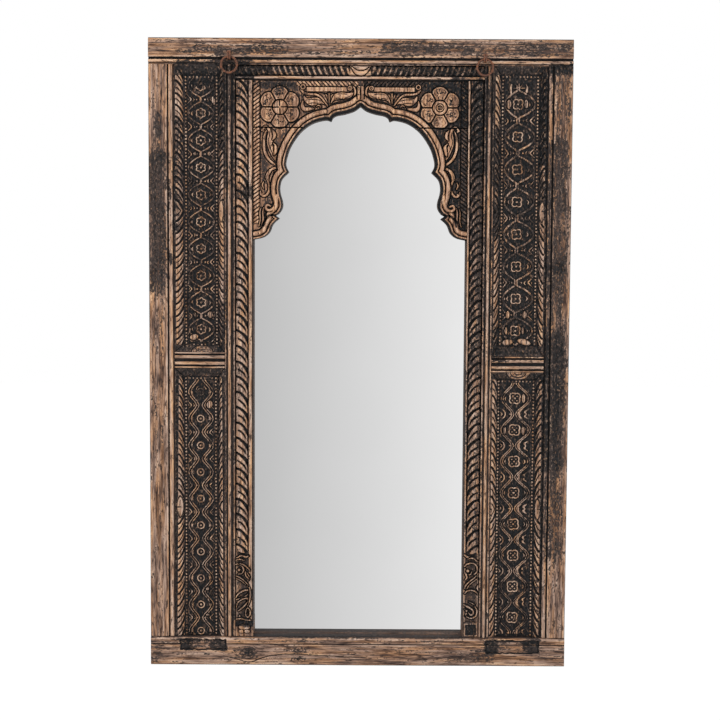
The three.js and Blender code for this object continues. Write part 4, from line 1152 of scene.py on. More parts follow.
# Places counted from the stile, in millimetres: the end of the outer slope, the outer bead row,
# the field's edge, the line of rosettes, the field's other edge, the inner bead row and slope
PANELS = {
    "upper_left": {
        "lines": (18.6, 24, 27.6, 56.1, 86, 89.4, 93.2), "leaf_paint": 0.22, "vine_rub": 0.06,
        "first_drop": 44.4, "pitch": 57.5, "rosette": 11.4, "lobes": 6, "lobe_depth": 2.6, "ring": 1.05,
        "inner_dots": 0, "vine_lines": (0,), "vine_half": 1.8, "neck_gap": 1.4, "leaf_pitch": 12.6,
        "leaf_rise": 20, "leaf_start": (0, 0), "head_slope": 22, "foot_slope": 15, "foot_beads": True,
        "lens_inside": True,
    },
    "upper_right": {
        "lines": (14, 19, 22.5, 61, 90, 93.4, 97.4), "leaf_paint": 0.2, "vine_rub": 0.03,
        "first_drop": 79.5, "pitch": 68.9, "rosette": 13.2, "lobes": 4, "lobe_depth": 4, "ring": 1.2,
        "inner_dots": 0, "vine_lines": (0,), "vine_half": 2.5, "neck_gap": 2.6, "leaf_pitch": 15,
        "leaf_rise": 26, "leaf_start": (0.04, 0), "head_slope": 18, "foot_slope": 22, "foot_beads": False,
        "lens_inside": False,
    },
    "lower_left": {
        "lines": (18.7, 22.8, 26.5, 54.2, 83.4, 87.1, 92.1), "leaf_paint": 0.16, "vine_rub": 0.5,
        "first_drop": 52, "pitch": 58.2, "rosette": 8.4, "lobes": 0, "lobe_depth": 0, "ring": 1.2,
        "inner_dots": 0, "vine_lines": (0, 5.6), "vine_half": 1.35, "neck_gap": 3.4, "leaf_pitch": 12.8,
        "leaf_rise": 24, "leaf_start": (0.05, 0.34), "head_slope": 19, "foot_slope": 0,
        "foot_beads": False, "lens_inside": False,
    },
    "lower_right": {
        "lines": (14.6, 19.6, 23.4, 59.7, 91, 94.7, 97.7), "leaf_paint": 0.12, "vine_rub": 0.34,
        "first_drop": 56.4, "pitch": 68.6, "rosette": 14.4, "lobes": 4, "lobe_depth": 3.4, "ring": 1.35,
        "inner_dots": 4, "vine_lines": (0, 4.4), "vine_half": 1.4, "neck_gap": 1.8, "leaf_pitch": 15.6,
        "leaf_rise": 24, "leaf_start": (0, 0), "head_slope": 16, "foot_slope": 0, "foot_beads": False,
        "lens_inside": False,
    },
}
PANEL_STEP = 1.0
PANEL_RIM_WIDTH = 1.5
PANEL_GROUND_PAINT = 1.0
PANEL_PAINT_CLOUDS = 0.12
PANEL_CLOUD_CELLS = (14, 4)
PANEL_WEATHER = (0.25, 5.0, 5.0, 81)
PANEL_SEED = 7
PANEL_SEEDS = {"left": 3, "right": 5}
FIELD_DEPTH = 9.0
SLOPE_CURVE = 0.6
BEAD_CHANNEL_HALF = 3.0
BEAD_CHANNEL_DEPTH = 1.4
BEAD_END_GAP = 2.0

# The leaves of a slope and of a jamb: where along a leaf its cuts swell and its short cuts start and end
LEAF_TIP_SHARE = 0.02
CUT_SWELL = 0.35
CUT_SWELL_SHARES = (0.5, 1.0)
SHORT_CUT_START_SHARES = (0.05, 0.25)
SHORT_CUT_END_SHARES = (0.72, 0.9)
SHORT_CUT_SHARE = 0.85
FULL_LEAF_SHARE = 0.25
LEAF_CUTS = (2.4, 0.9)
LEAF_CUT_DEPTH = 3.6
LEAF_PAIR = 2
LEAF_RISE_CURVE = 1.9
LEAF_SWELL = 1.3
LEAF_WOBBLE = 1.6
LEAF_WOBBLE_ROWS = 26
LEAF_ROOT_SHARE = 0.08
LEAF_END_SHARES = (0.94, 1.0)
LEAF_END_DEPTH = 1.8
LEAF_CHIPS = 0.22
# Cells of the chipped paint in millimetres, up and across
CHIP_CELLS = (5, 4)

# The smooth lens in the middle of a slope, the cut round it, and the cut across its middle
LENS_HALF_HEIGHT = 22.0
LENS_WIDTH_SHARE = 0.4
LENS_CURVE = 1.6
LENS_REACH = 0.45
LENS_EDGE = 0.1
LENS_RISE = 0.6
LENS_CUT_PLACE, LENS_CUT_HALF, LENS_CUT_DEPTH = 0.15, 0.3, 3.0
LENS_BAR_HALF, LENS_BAR_END = 1.3, 1.0

# The vine round a rosette
EYE_STEPS = 13
EYE_NECK_SHARE = 0.2
EYE_CURVE = 0.8
OGEE_CURVE = 0.85
VINE_RISE = 3.8
VINE_MARGIN = 2.2
NECK_POINTS = 5
NECK_RUB = (0.0, 0.5)
NECK_LIFT = 0.3
NECK_DOT = 2.2
NECK_DOT_SHARE = 0.3
SPRIG_RISE = 3.6
SPRIG_RUB = (0.35, 1.1)
SPRIG_SWELL = (0.85, 1.15)
CARVER_JITTER = 0.8

# Small carved shapes beside each rosette's eye, as shares of the half width and of the pitch,
# with half widths in millimetres
NECK_SPRIGS = [
    [(0.95, -0.15, 0.8), (0.78, -0.06, 1.4), (0.7, 0, 1.7), (0.78, 0.06, 1.4), (0.95, 0.15, 0.8)],
    [(0.55, -0.07, 0.6), (0.47, 0, 1.5), (0.55, 0.07, 0.6)], [(0.9, -0.02, 1.2), (0.9, 0.02, 1.2)],
]
EYE_SPRIGS = [
    [(0.58, -0.08, 0.6), (0.66, 0, 1.7), (0.58, 0.08, 0.6)], [(0.8, -0.03, 0.9), (0.8, 0.03, 0.9)],
]
TULIP_SPRIGS = [
    [(0.45, -0.15, 1), (0.29, -0.06, 2.3), (0.29, 0.06, 2.3), (0.45, 0.15, 1)],
    [(0.78, -0.15, 1), (0.6, -0.07, 2.6), (0.68, 0, 1.4), (0.6, 0.07, 2.6), (0.78, 0.15, 1)],
]
ARC_SPRIGS = [
    [(0.9, -0.16, 0.9), (0.72, -0.08, 1.6), (0.67, 0, 1.8), (0.72, 0.08, 1.6), (0.9, 0.16, 0.9)],
    [(0.98, -0.06, 0.7), (0.86, 0, 1.3), (0.98, 0.06, 0.7)],
]

# Larger leaves of each field: across from the stile, up, half sizes each way and turn
PANEL_LEAVES = {
    "upper_left": [
        (83.1, 1218.2, 3.6, 9, 0.15), (74, 1106.3, 3.4, 4.7, 0), (75.3, 763.2, 6, 7.3, 0),
        (40.6, 714.8, 9.5, 6.4, 0.2), (42.9, 1106, 3, 4.3, 0), (43.3, 762.2, 2.1, 6, 0),
    ],
    "upper_right": [
        (80.5, 1214.2, 5.2, 10.1, 0), (43.5, 1215.3, 4.3, 9.7, 0), (77.4, 766.5, 4.1, 8.6, 0),
        (41.1, 766.5, 4.7, 8.2, 0), (80.8, 731.7, 3, 9, 0), (70, 731.7, 2.4, 7.5, 0),
        (44.7, 733, 2.6, 8.2, 0), (77.2, 707.3, 11.4, 6.7, -0.14), (41.5, 707.9, 14.6, 6.4, 0.26),
    ],
    "lower_left": [
        (73.3, 569.2, 6.6, 8.8, -0.2), (68.2, 165.7, 3.4, 4.3, 0), (68.5, 108.3, 3.9, 3, 0),
        (71.4, 140.3, 2.1, 4.3, 0.52),
    ],
    "lower_right": [(40.8, 586, 3.8, 10.2, 0), (41, 516.2, 3.6, 9.7, 0), (80.6, 516.2, 3, 8.6, 0)],
}
# Strokes of a palmette and two buds over the first rosette: across from the stile, up, half width
PANEL_STROKES = {
    "upper_right": [
        [(59.6, 1257.6, 0.9), (59.5, 1249.2, 1.3)], [(65.3, 1253.4, 0.9), (61, 1249.2, 1.1)],
        [(54.1, 1253.4, 0.9), (58.2, 1249.2, 1.1)], [(45.7, 1248.4, 0.9), (55.3, 1248, 1.1)],
        [(72.4, 1247.7, 0.6), (64, 1248, 1.1)],
        [(75.9, 1255.1, 1.9), (77.3, 1245.7, 2.6), (75.7, 1235.8, 1.9)],
        [(44.8, 1256.1, 0.9), (42.1, 1249.8, 1.7), (43.3, 1240.8, 3.2)],
    ],
    "lower_right": [
        [(58, 632, 0.9), (52, 620, 1.4)], [(47, 631, 0.9), (44.5, 626, 1.2)],
        [(38, 631, 0.8), (34, 623, 1.3)],
    ],
    "lower_left": [[(48, 609, 0.8), (45, 602, 1.2)], [(62, 610, 0.8), (66, 603, 1.2)]],
}
LEAF_STAND = 4.4
LEAF_MOAT = 1.6
LEAF_VEIN = (0.8, 1.8)
VEIN_SWELL = 1.5
VEIN_LENGTH_SHARE = 0.7
WIDE_LEAF = 4.5
WIDE_VEIN_SHARES = (-0.4, 0.4)

# Half rosettes on an end slope: whether at the head, across, half width, height, paint kept
PANEL_DISCS = {"upper_left": (False, 58.4, 23, 14, 0.5), "lower_right": (True, 53.6, 25.2, 17, 0.42)}
# At the foot a plain disc, at the head one with rings
DISC_RINGS = ((1,), (1, 0.66, 0.3))
DISC_STEPS = 15
DISC_CUT = 1.3
DISC_CUT_DEPTH = 2.0

# A tray's ends: their paint, the mitre's depth and half width, and the worn band beside it
END_PAINT = 0.94
SLOPE_START_SHARE = 0.05
MITRE_DEPTH = 1.8
MITRE_HALF_SHARE = 0.07
WORN_HALF_SHARE, WORN_START_SHARE, WORN_PAINT = 0.13, 0.1, 0.45
LEVEL_SHARE = 0.02
# How far the field's carving stays from the end slopes, where beads run there and where none do
END_MARGIN, OPEN_MARGIN = 7, 1


def leaf_cuts(part, along, pitch, rise, curve, width, halves):
    """Curved cuts that part the leaves of a twist: a long one to each leaf and a short one between.

    Gives how deep each place lies in a cut, and how full the leaf is there, both from 0 to 1.
    """
    slope = rise * curve * np.maximum(part, LEAF_TIP_SHARE) ** (curve - 1) / width
    stretch = np.sqrt(1 + slope * slope) * (1 + CUT_SWELL * share(part, *CUT_SWELL_SHARES))
    phase = (along + rise * part**curve) / pitch
    waves = [np.abs(turn - np.round(turn)) * pitch for turn in (phase, phase - HALF)]
    cuts = [np.clip(1 - wave / (half * stretch), 0, 1) ** HALF for wave, half in zip(waves, halves)]
    short = share(part, *SHORT_CUT_START_SHARES) * (1 - share(part, *SHORT_CUT_END_SHARES))
    full = np.sin(np.pi * np.clip(np.minimum(*waves) / (pitch * FULL_LEAF_SHARE), 0, 1) / 2)
    return np.maximum(cuts[0], SHORT_CUT_SHARE * cuts[1] * short), full


def leaf_border(relief, style, start, end, foot, head, mirror):
    """A slope cut into overlapping leaves, mirrored about its middle, where one side has a smooth lens."""
    across, up = relief.grid()
    wide, centre, middle = end - start, (start + end) / 2, (foot + head) / 2
    part = np.clip((across - start) / wide, 0, 1)
    if mirror:
        part = 1 - part
    count = len(relief.up)
    wobble = LEAF_WOBBLE * noise(relief.out.shape, (count / LEAF_WOBBLE_ROWS, 2), count)
    height = middle + np.abs(up - middle) + wobble
    pitch = style["leaf_pitch"] * LEAF_PAIR
    begin = np.interp(up, (foot, head), style["leaf_start"])
    leaf_part = np.clip((part - begin) / (1 - begin), 0, 1)
    shape = (style["leaf_rise"], LEAF_RISE_CURVE, wide * (1 - begin))
    cut, full = leaf_cuts(leaf_part, height, pitch, *shape, LEAF_CUTS)
    edge = share(part, begin, begin + LEAF_ROOT_SHARE) * (1 - share(part, *LEAF_END_SHARES))
    lens = 1 - (np.abs(across - centre) / (wide * LENS_WIDTH_SHARE)) ** LENS_CURVE
    lens = lens - ((up - middle) / LENS_HALF_HEIGHT) ** 2
    in_lens = (lens > -LENS_REACH) & (mirror == style["lens_inside"])
    rim = np.clip(1 - np.abs(lens + LENS_CUT_PLACE) / LENS_CUT_HALF, 0, 1)
    bar = (np.abs(up - middle) < LENS_BAR_HALF) & (lens > -LENS_EDGE) & (across < centre + LENS_BAR_END)
    rim = np.maximum(rim, bar)
    smooth = np.where(lens > LENS_EDGE, LENS_RISE * np.sqrt(np.clip(lens, 0, 1)), -LENS_CUT_DEPTH * rim)
    leafy = edge * (LEAF_SWELL * full - LEAF_SWELL - LEAF_CUT_DEPTH * cut) - LEAF_END_DEPTH * (1 - edge)
    cell_up, cell_across = CHIP_CELLS
    chips = noise(relief.out.shape, (count * relief.step_up / cell_up, wide / cell_across), count + 3)
    inked = np.where(in_lens, rim, np.maximum(cut * edge, 1 - edge))
    rubbed = np.where(in_lens, 0.0, style["leaf_paint"] + LEAF_CHIPS * chips)
    inside = (across >= start) & (across <= end) & (up >= foot) & (up <= head)
    relief.lay(inside, relief.out + np.where(in_lens, smooth, leafy), np.maximum(rubbed, INK * inked))


def eye_line(style, line, centre, side, reach, offset):
    """One side of the vine that runs round a rosette and meets its twin at the necks."""
    lines, gap = style["vine_lines"], style["neck_gap"]
    swing = reach - VINE_MARGIN - gap - lines[-1]
    points = []
    for turn in np.linspace(-HALF, HALF, EYE_STEPS):
        if len(lines) > 1:
            swell = (HALF + HALF * math.cos(math.tau * turn)) ** OGEE_CURVE
        else:
            swell = max(math.cos(math.pi * turn / (1 - EYE_NECK_SHARE)), 0) ** EYE_CURVE
        place = line + side * (gap + offset + swing * swell)
        points.append((place, centre + turn * style["pitch"], style["vine_half"]))
    return points


def sprigs(relief, shapes, line, side, reach, centre, pitch, random):
    for shape in shapes:
        shift = random.uniform(-CARVER_JITTER, CARVER_JITTER, 2)
        swell = random.uniform(*SPRIG_SWELL)
        points = []
        for across, up, width in shape:
            place = (line + side * reach * across + shift[0], centre + up * pitch + shift[1])
            points.append((*place, width * swell))
        relief.stroke(points, SPRIG_RISE)


def panel_unit(relief, style, line, centre, reaches, random, first):
    """The vine, leaves and dots that go with one rosette."""
    pitch = style["pitch"]
    neck = centre + pitch / 2
    for side, reach in reaches.items():
        for offset in style["vine_lines"]:
            vine = eye_line(style, line, centre, side, reach, offset)
            relief.rub = style["vine_rub"]
            relief.stroke(vine, VINE_RISE)
            for end in (vine[:NECK_POINTS], vine[-NECK_POINTS:]):
                relief.rub = style["vine_rub"] + random.uniform(*NECK_RUB)
                relief.stroke(end, VINE_RISE + NECK_LIFT)
    for side, reach in reaches.items():
        relief.rub = random.uniform(*SPRIG_RUB)
        sprigs(relief, EYE_SPRIGS, line, side, reach, centre, pitch, random)
        relief.rub = random.uniform(*SPRIG_RUB)
        if not first:
            paired = TULIP_SPRIGS if side < 0 else ARC_SPRIGS
            shapes = paired if style["inner_dots"] else NECK_SPRIGS
            sprigs(relief, shapes, line, side, reach, neck, pitch, random)
            relief.oval(line + side * reach * NECK_DOT_SHARE, neck, NECK_DOT, NECK_DOT, SPRIG_RISE)
    relief.rub = 1.0


def panel_leaves(relief, key):
    """The larger leaves and strokes that don't repeat."""
    vein, depth = LEAF_VEIN
    for across, up, half_across, half_up, turn in PANEL_LEAVES[key]:
        relief.oval(across, up, half_across, half_up, LEAF_STAND, LEAF_MOAT, LEAF_MOAT, turn)
        tip = half_up * VEIN_LENGTH_SHARE
        for place in WIDE_VEIN_SHARES if half_across > WIDE_LEAF else (0.0,):
            middle = across + place * half_across
            swell = (middle + vein, up, VEIN_SWELL * vein)
            relief.groove([(middle, up - tip, vein), swell, (middle, up + tip, vein)], depth)
    for points in PANEL_STROKES.get(key, ()):
        relief.stroke(points, LEAF_STAND)


def half_disc(relief, edges, on_end, at_head, across, half, height, kept):
    """A half rosette on a tray's end slope, in rings that open away from the field."""
    x, y = relief.grid()
    start, rise = (edges.head, -height) if at_head else (edges.foot, height)
    far = np.hypot((x - across) / half, (y - start) / rise)
    relief.paint = np.where((far < 1) & on_end, kept, relief.paint)
    turns = [(math.cos(turn), math.sin(turn)) for turn in np.linspace(0, math.pi, DISC_STEPS)]
    for size in DISC_RINGS[at_head]:
        ring = [(across + size * half * x, start + size * rise * y, DISC_CUT) for x, y in turns]
        relief.groove(ring, DISC_CUT_DEPTH)


def panel_tray(relief, style, edges, key):
    """The sunk field, its leafy side slopes, its plain end slopes and the bead channels."""
    across, up = relief.grid()
    field = relief.ground
    outer, bead_out, _, _, _, bead_in, inner = style["lines"]
    head_slope, foot_slope = style["head_slope"], style["foot_slope"]
    low, high = edges.foot + foot_slope, edges.head - head_slope
    rim = edges.width - PANEL_RIM_WIDTH
    sides_rise = np.maximum((outer - across) / (outer - PANEL_RIM_WIDTH), (across - inner) / (rim - inner))
    foot_rise = (low - up) / (foot_slope - PANEL_RIM_WIDTH) if foot_slope else -1 + 0 * up
    ends_rise = np.maximum((up - high) / (head_slope - PANEL_RIM_WIDTH), foot_rise)
    rise = np.maximum(sides_rise, ends_rise)
    relief.out = field + FIELD_DEPTH * np.clip(rise, 0, 1) ** SLOPE_CURVE
    clouds = noise(relief.out.shape, PANEL_CLOUD_CELLS, len(edges.name) + 2)
    relief.paint += PANEL_GROUND_PAINT + PANEL_PAINT_CLOUDS * clouds
    plain, plain_paint = relief.out.copy(), relief.paint.copy()
    leaf_border(relief, style, PANEL_RIM_WIDTH, outer, low, high, False)
    leaf_border(relief, style, inner, rim, low, high, True)
    on_end = ends_rise > sides_rise
    beside = np.abs(ends_rise - sides_rise)
    mitre = (beside < MITRE_HALF_SHARE) & (rise > SLOPE_START_SHARE)
    worn = (beside < WORN_HALF_SHARE) & on_end & (rise > WORN_START_SHARE)
    relief.lay(on_end, plain, plain_paint)
    relief.lay(on_end & (rise > SLOPE_START_SHARE), relief.out, END_PAINT)
    relief.lay(worn, relief.out, WORN_PAINT)
    relief.lay(mitre, relief.out - MITRE_DEPTH, INK)
    if key in PANEL_DISCS:
        half_disc(relief, edges, on_end, *PANEL_DISCS[key])
    channel = (np.abs(across - bead_out) < BEAD_CHANNEL_HALF) | (np.abs(across - bead_in) < BEAD_CHANNEL_HALF)
    channel = channel & (rise <= LEVEL_SHARE)
    relief.lay(channel, field - BEAD_CHANNEL_DEPTH, relief.paint)
    return low, high


def panel(level, side, sizes):
    name, key = level + "_panel_" + side, level + "_" + side
    style = PANELS[key]
    edges = Edges(name)
    field = PANEL_RIM - FIELD_DEPTH
    relief = Relief(0.0, edges.foot, edges.width, edges.head, PANEL_STEP, field)
    across, up = relief.grid()
    _, bead_out, field_out, line, field_in, bead_in, _ = style["lines"]
    low, high = panel_tray(relief, style, edges, key)
    before, before_paint = relief.out.copy(), relief.paint.copy()
    reaches = {-1: line - field_out, 1: field_in - line}
    random = np.random.default_rng(len(name) * PANEL_SEED + PANEL_SEEDS[side])
    centre = edges.head - style["first_drop"]
    places = []
    while centre > low + style["rosette"]:
        places.append(centre)
        panel_unit(relief, style, line, centre, reaches, random, len(places) == 1)
        centre -= style["pitch"]
    panel_unit(relief, style, line, centre, reaches, random, False)
    panel_leaves(relief, key)
    end = END_MARGIN if style["foot_beads"] or not style["foot_slope"] else OPEN_MARGIN
    carved = (across > field_out) & (across < field_in) & (up > low + end) & (up < high - END_MARGIN)
    relief.lay(~carved, before, before_paint)
    relief.weather(*PANEL_WEATHER)
    relief.settle(side, edges)
    carved_board(name, relief, edges, "teak_carved")
    sign, start = (1, edges.left) if side == "left" else (-1, edges.right)
    heights = (low + BEAD_END_GAP, high - BEAD_END_GAP)
    ends = heights if style["foot_beads"] else heights[1:]
    bead_rows(name, start, sign, (bead_out, bead_in), heights, ends, field - BEAD_CHANNEL_DEPTH, sizes)
    rosette_row(name, start + sign * line, places, field, style)


# Jambs and lintel


JAMB_STEP = (0.8, 1.0)
JAMB_BASE = BOX_FRONT - 8
JAMB_CREST = BOX_FRONT + 2
JAMB_BANDS = {"left": (28.5, 35.6), "right": (29.6, 33.4)}
JAMB_PAINT = 0.24
JAMB_CLOUDS = 0.16
JAMB_CLOUD_CELLS = (40, 3)
JAMB_SHADOW = 0.3
JAMB_SEED, TWIST_SEED, LINTEL_SEED = 17, 5, 19
JAMB_SHADOW_SHARES = (0.1, 0.6)
JAMB_WEATHER = (0.3, 4.0, 18.0, 91)
# Sections from the start of the band, from its end, and how far before the band the twist ends
BAND_START = [(-1.0, -8.0), (-0.2, -8.0), (0.4, -4.0)]
BAND_END = [(-1.0, -3.5), (0.0, -5.0), (0.6, -11.0)]
BAND_GAP, BAND_EDGE, BAND_CUT_HALF = 1.2, 1.1, 0.6
TWIST_FOOT = 3.0
TWIST_START = 1.4
TWIST_EDGE = 0.2
TWIST_PITCH = 33.2
TWIST_RISE = 25.0
TWIST_CURVE = 2.3
TWIST_CUTS = (3.0, 2.2)
TWIST_CUT_DEPTH = 4.5
TWIST_SWELL = 1.2
TWIST_WOBBLE = 1.5
TWIST_WOBBLE_ROWS = 30
JAMB_MOTIF = 150.0
# Clearance in front of the glass and beside it, and how sharp the rebate's step is
GLASS_GAP = 0.3
GLASS_SIDE_GAP = 0.6
REBATE_STEP_SHARE = 0.001

# Scrolls and leaves at the foot of each jamb, as (across from the outer edge, up, half width)
MOTIF_LEFT = [
    [(2.4, 235.6, 1), (12.8, 240.5, 1.8), (22.5, 238, 1.6), (29, 240, 0.8)],
    [(0, 230.2, 0.8), (9.2, 232.7, 1.4), (18.9, 230.2, 0.8)],
    [
        (-0.9, 220.9, 1), (6.3, 221.9, 1.3), (14.5, 217, 1.5), (17.9, 208.2, 1.5), (13.6, 201.4, 1.2),
        (6.3, 200.4, 0.8),
    ],
    [(9.2, 223.9, 0.8), (19.4, 219.5, 1.4), (27.6, 212.6, 1.4), (31.5, 208.2, 0.8)],
    [(21.3, 205.3, 0.8), (22.8, 196.5, 1.6), (30, 188.7, 0.8)],
    [(25.7, 202.9, 0.6), (28.6, 197.2, 1.2), (31.5, 193.6, 0.6)],
    [(-0.5, 196.5, 0.9), (10.4, 192.1, 1.4), (20.8, 183.3, 1.4), (27.6, 176, 0.9)],
    [(2, 190.6, 0.7), (13.6, 184.8, 1.1), (23.7, 175.5, 0.7)],
    [
        (-0.5, 146.6, 1), (5.3, 155.4, 1.5), (14.1, 161.8, 1.6), (24.7, 165.2, 1.6), (29.6, 161.3, 1.4),
        (26.7, 155.4, 1),
    ],
    [(1, 144.1, 0.8), (11.6, 146.6, 1.4), (21.3, 151, 1.2), (26.7, 155.4, 0.8)],
    [
        (2, 127, 0.9), (4.9, 136.8, 1.4), (12.1, 143.2, 1.5), (22.8, 147.1, 1.5), (27.6, 144.1, 1.3),
        (24.7, 136.3, 1.4), (14.1, 125, 1.3), (5.4, 118.6, 0.8),
    ],
    [(30, 171.1, 0.9), (32, 161.8, 1.5), (32, 149.5, 1.5), (28.6, 134.8, 1.2), (25.7, 129.9, 0.8)],
    [
        (26.7, 126.5, 0.8), (31, 120.6, 1.5), (32, 111.8, 1.6), (27.7, 105.4, 1.4), (22.8, 109.3, 1.2),
        (22.8, 120.1, 1), (26.7, 126.5, 0.8),
    ],
    [(1, 100.5, 0.8), (11.7, 101.9, 1.3), (21.4, 99.5, 1), (32, 98.5, 1.2)],
]
MOTIF_RIGHT = [
    [(31.5, 244.4, 1.6), (23.7, 239.5, 2.4), (11.1, 240.5, 1)],
    [(25.6, 235.6, 0.8), (13.5, 237.5, 1.6), (3.3, 229.7, 1.2)],
    [
        (31.7, 219, 1), (25.9, 224.8, 1.5), (13.4, 226.8, 1.5), (5.1, 220, 1.5), (4.5, 208.2, 1.4),
        (10.7, 201.9, 1),
    ],
    [(30.7, 215.6, 1), (29.1, 205.8, 2.6), (26.1, 196, 2.2), (30.3, 189.2, 0.8)],
    [(22.7, 200.9, 0.8), (17.9, 202.9, 1.4), (15.6, 208.2, 0.8)],
    [(30.6, 170.1, 1), (28.3, 178.4, 1.5), (20.2, 186.7, 1.4), (10.6, 194.1, 1.3), (5.8, 199.4, 0.8)],
    [(26.2, 168.6, 0.7), (22.5, 176.9, 1.2), (13.4, 185.7, 1.2), (3.3, 192.6, 0.8)],
    [(30.5, 159.3, 0.9), (25.7, 165.2, 1.5), (15.1, 167.2, 1.6), (6.3, 163.2, 1.4), (2.4, 158.3, 0.8)],
    [(1.7, 178.4, 0.8), (3, 171.6, 2), (1, 166.2, 0.8)],
    [
        (32.1, 134.8, 1.4), (22.4, 129.9, 2.2), (13.1, 123.5, 1.8), (11.6, 116.2, 1.6),
        (17.3, 112.7, 1.4), (21.3, 117.6, 1),
    ],
    [(9.8, 133.3, 0.8), (3.9, 123.5, 1.4), (5.7, 110.8, 1.5), (15.8, 105.4, 1.5), (28.9, 109.8, 1)],
    [(21.6, 141.7, 0.6), (14.7, 138.7, 1), (7.9, 134.8, 0.6)],
    [(30.1, 125, 0.8), (26.6, 119.1, 1.6), (28, 112.2, 1)],
]
# Bosses of the same: across, up and half width
MOTIF_BOSSES = {
    "left": [(7.5, 209.0, 3.0), (9.0, 107.5, 2.0)],
    "right": [(24.7, 209.5, 3.6), (26.0, 122.0, 2.2)],
}
MOTIF_RISE = 6.0
MOTIF_MOAT = 2.4
MOTIF_MOAT_DEPTH = 2.0
MOTIF_START = 3.0
MOTIF_GROUND = 2.0
MOTIF_PAINT = 0.32


def rebate_section(side, edges):
    """The stepped back of a piece beside the glass, as shares of its width and levels out."""
    glass = Edges("mirror_glass")
    step = glass.front + GLASS_GAP
    if side == "left":
        wall = (glass.left - GLASS_SIDE_GAP - edges.left) / edges.width
        return [(0.0, edges.back), (wall, edges.back), (wall + REBATE_STEP_SHARE, step), (1.0, step)]
    wall = (glass.right + GLASS_SIDE_GAP - edges.left) / edges.width
    if side == "head":
        wall = (glass.head + GLASS_SIDE_GAP - edges.foot) / edges.height
    return [(0.0, step), (wall, step), (wall + REBATE_STEP_SHARE, edges.back), (1.0, edges.back)]


def jamb_motif(relief, side, head, width):
    """Scrolls and leaves at the foot of a jamb."""
    across, up = relief.grid()
    relief.ground = JAMB_BASE + MOTIF_GROUND
    relief.lay((across > MOTIF_START) & (across < width) & (up < head), relief.ground, MOTIF_PAINT)
    for points in MOTIF_LEFT if side == "left" else MOTIF_RIGHT:
        relief.stroke(points, MOTIF_RISE, MOTIF_MOAT, MOTIF_MOAT_DEPTH)
    for place, height, half in MOTIF_BOSSES[side]:
        relief.oval(place, height, half, half, MOTIF_RISE, MOTIF_MOAT, MOTIF_MOAT_DEPTH)


def jamb(side):
    name = "rope_jamb_" + side
    edges = Edges(name)
    relief = Relief(0.0, edges.foot, edges.width, edges.head, JAMB_STEP, JAMB_BASE)
    across, up = relief.grid()
    band_start, band_end = JAMB_BANDS[side]
    low = JAMB_BASE - TWIST_FOOT
    section = [(0.0, low), (TWIST_START - TWIST_EDGE, low)]
    section += bead(TWIST_START, band_start - BAND_GAP, JAMB_BASE, JAMB_CREST)
    section += shifted(BAND_START, band_start) + shifted(BAND_END, band_end) + [(edges.width, low)]
    relief.lay_section(section, True)
    cut = np.abs(across - band_start + BAND_CUT_HALF) < BAND_CUT_HALF
    relief.lay((across < TWIST_START) | cut, relief.out, INK)
    motif = edges.foot + JAMB_MOTIF
    rope_width = band_start - BAND_GAP - TWIST_START
    part = np.clip((across - TWIST_START) / rope_width, 0, 1)
    rows = len(relief.up)
    along = up + TWIST_WOBBLE * noise(relief.out.shape, (rows / TWIST_WOBBLE_ROWS, 2), TWIST_SEED)
    cut, full = leaf_cuts(part, along, TWIST_PITCH, TWIST_RISE, TWIST_CURVE, rope_width, TWIST_CUTS)
    cell_up, cells_across = JAMB_CLOUD_CELLS
    kept = JAMB_CLOUDS * noise(relief.out.shape, (rows / cell_up, cells_across), JAMB_SEED)
    kept = kept + JAMB_SHADOW * (1 - share(part, *JAMB_SHADOW_SHARES))
    twisted = (across > TWIST_START) & (across < band_start - BAND_EDGE) & (up > motif)
    level = relief.out + TWIST_SWELL * full - TWIST_SWELL - TWIST_CUT_DEPTH * cut
    relief.lay(twisted, level, np.maximum(relief.paint + kept, INK * cut))
    jamb_motif(relief, side, motif, band_start)
    relief.weather(*JAMB_WEATHER)
    relief.paint += JAMB_PAINT
    relief.settle(side, edges)
    carved_board(name, relief, edges, "teak_carved", rebate=rebate_section(side, edges))


LINTEL_STEP = (1.0, 0.7)
LINTEL_FOOT = [(0.0, -11.0), (3.0, -10.0), (3.5, -4.0), (8.0, -4.0), (9.0, -8.0)]
LINTEL_ROPE_FOOT = 9.5
LINTEL_ROPE_GAP = 1.0
LINTEL_SLANT = 8.0
LINTEL_SLANT_CURVE = 1.4
LINTEL_PITCH = 12.0
LINTEL_CUT_HALF = 4.9
LINTEL_CLOUDS = 0.3
LINTEL_CLOUD_CELLS = (3, 60)
LINTEL_WEATHER = (0.3, 8.0, 4.0, 95)
# The sprig at the rope's middle: its half width, its points from there, and its rise and moat
LINTEL_MOTIF = 22.0
LINTEL_SPRIG = [(-19, 6, 1.0), (-10, -3, 3.5), (0, -6, 4.5), (10, -3, 3.5), (19, 6, 1.0)]
LINTEL_SPRIG_GROUND = 3.0
LINTEL_SPRIG_CUT = (6.5, 2.0, 4.0)


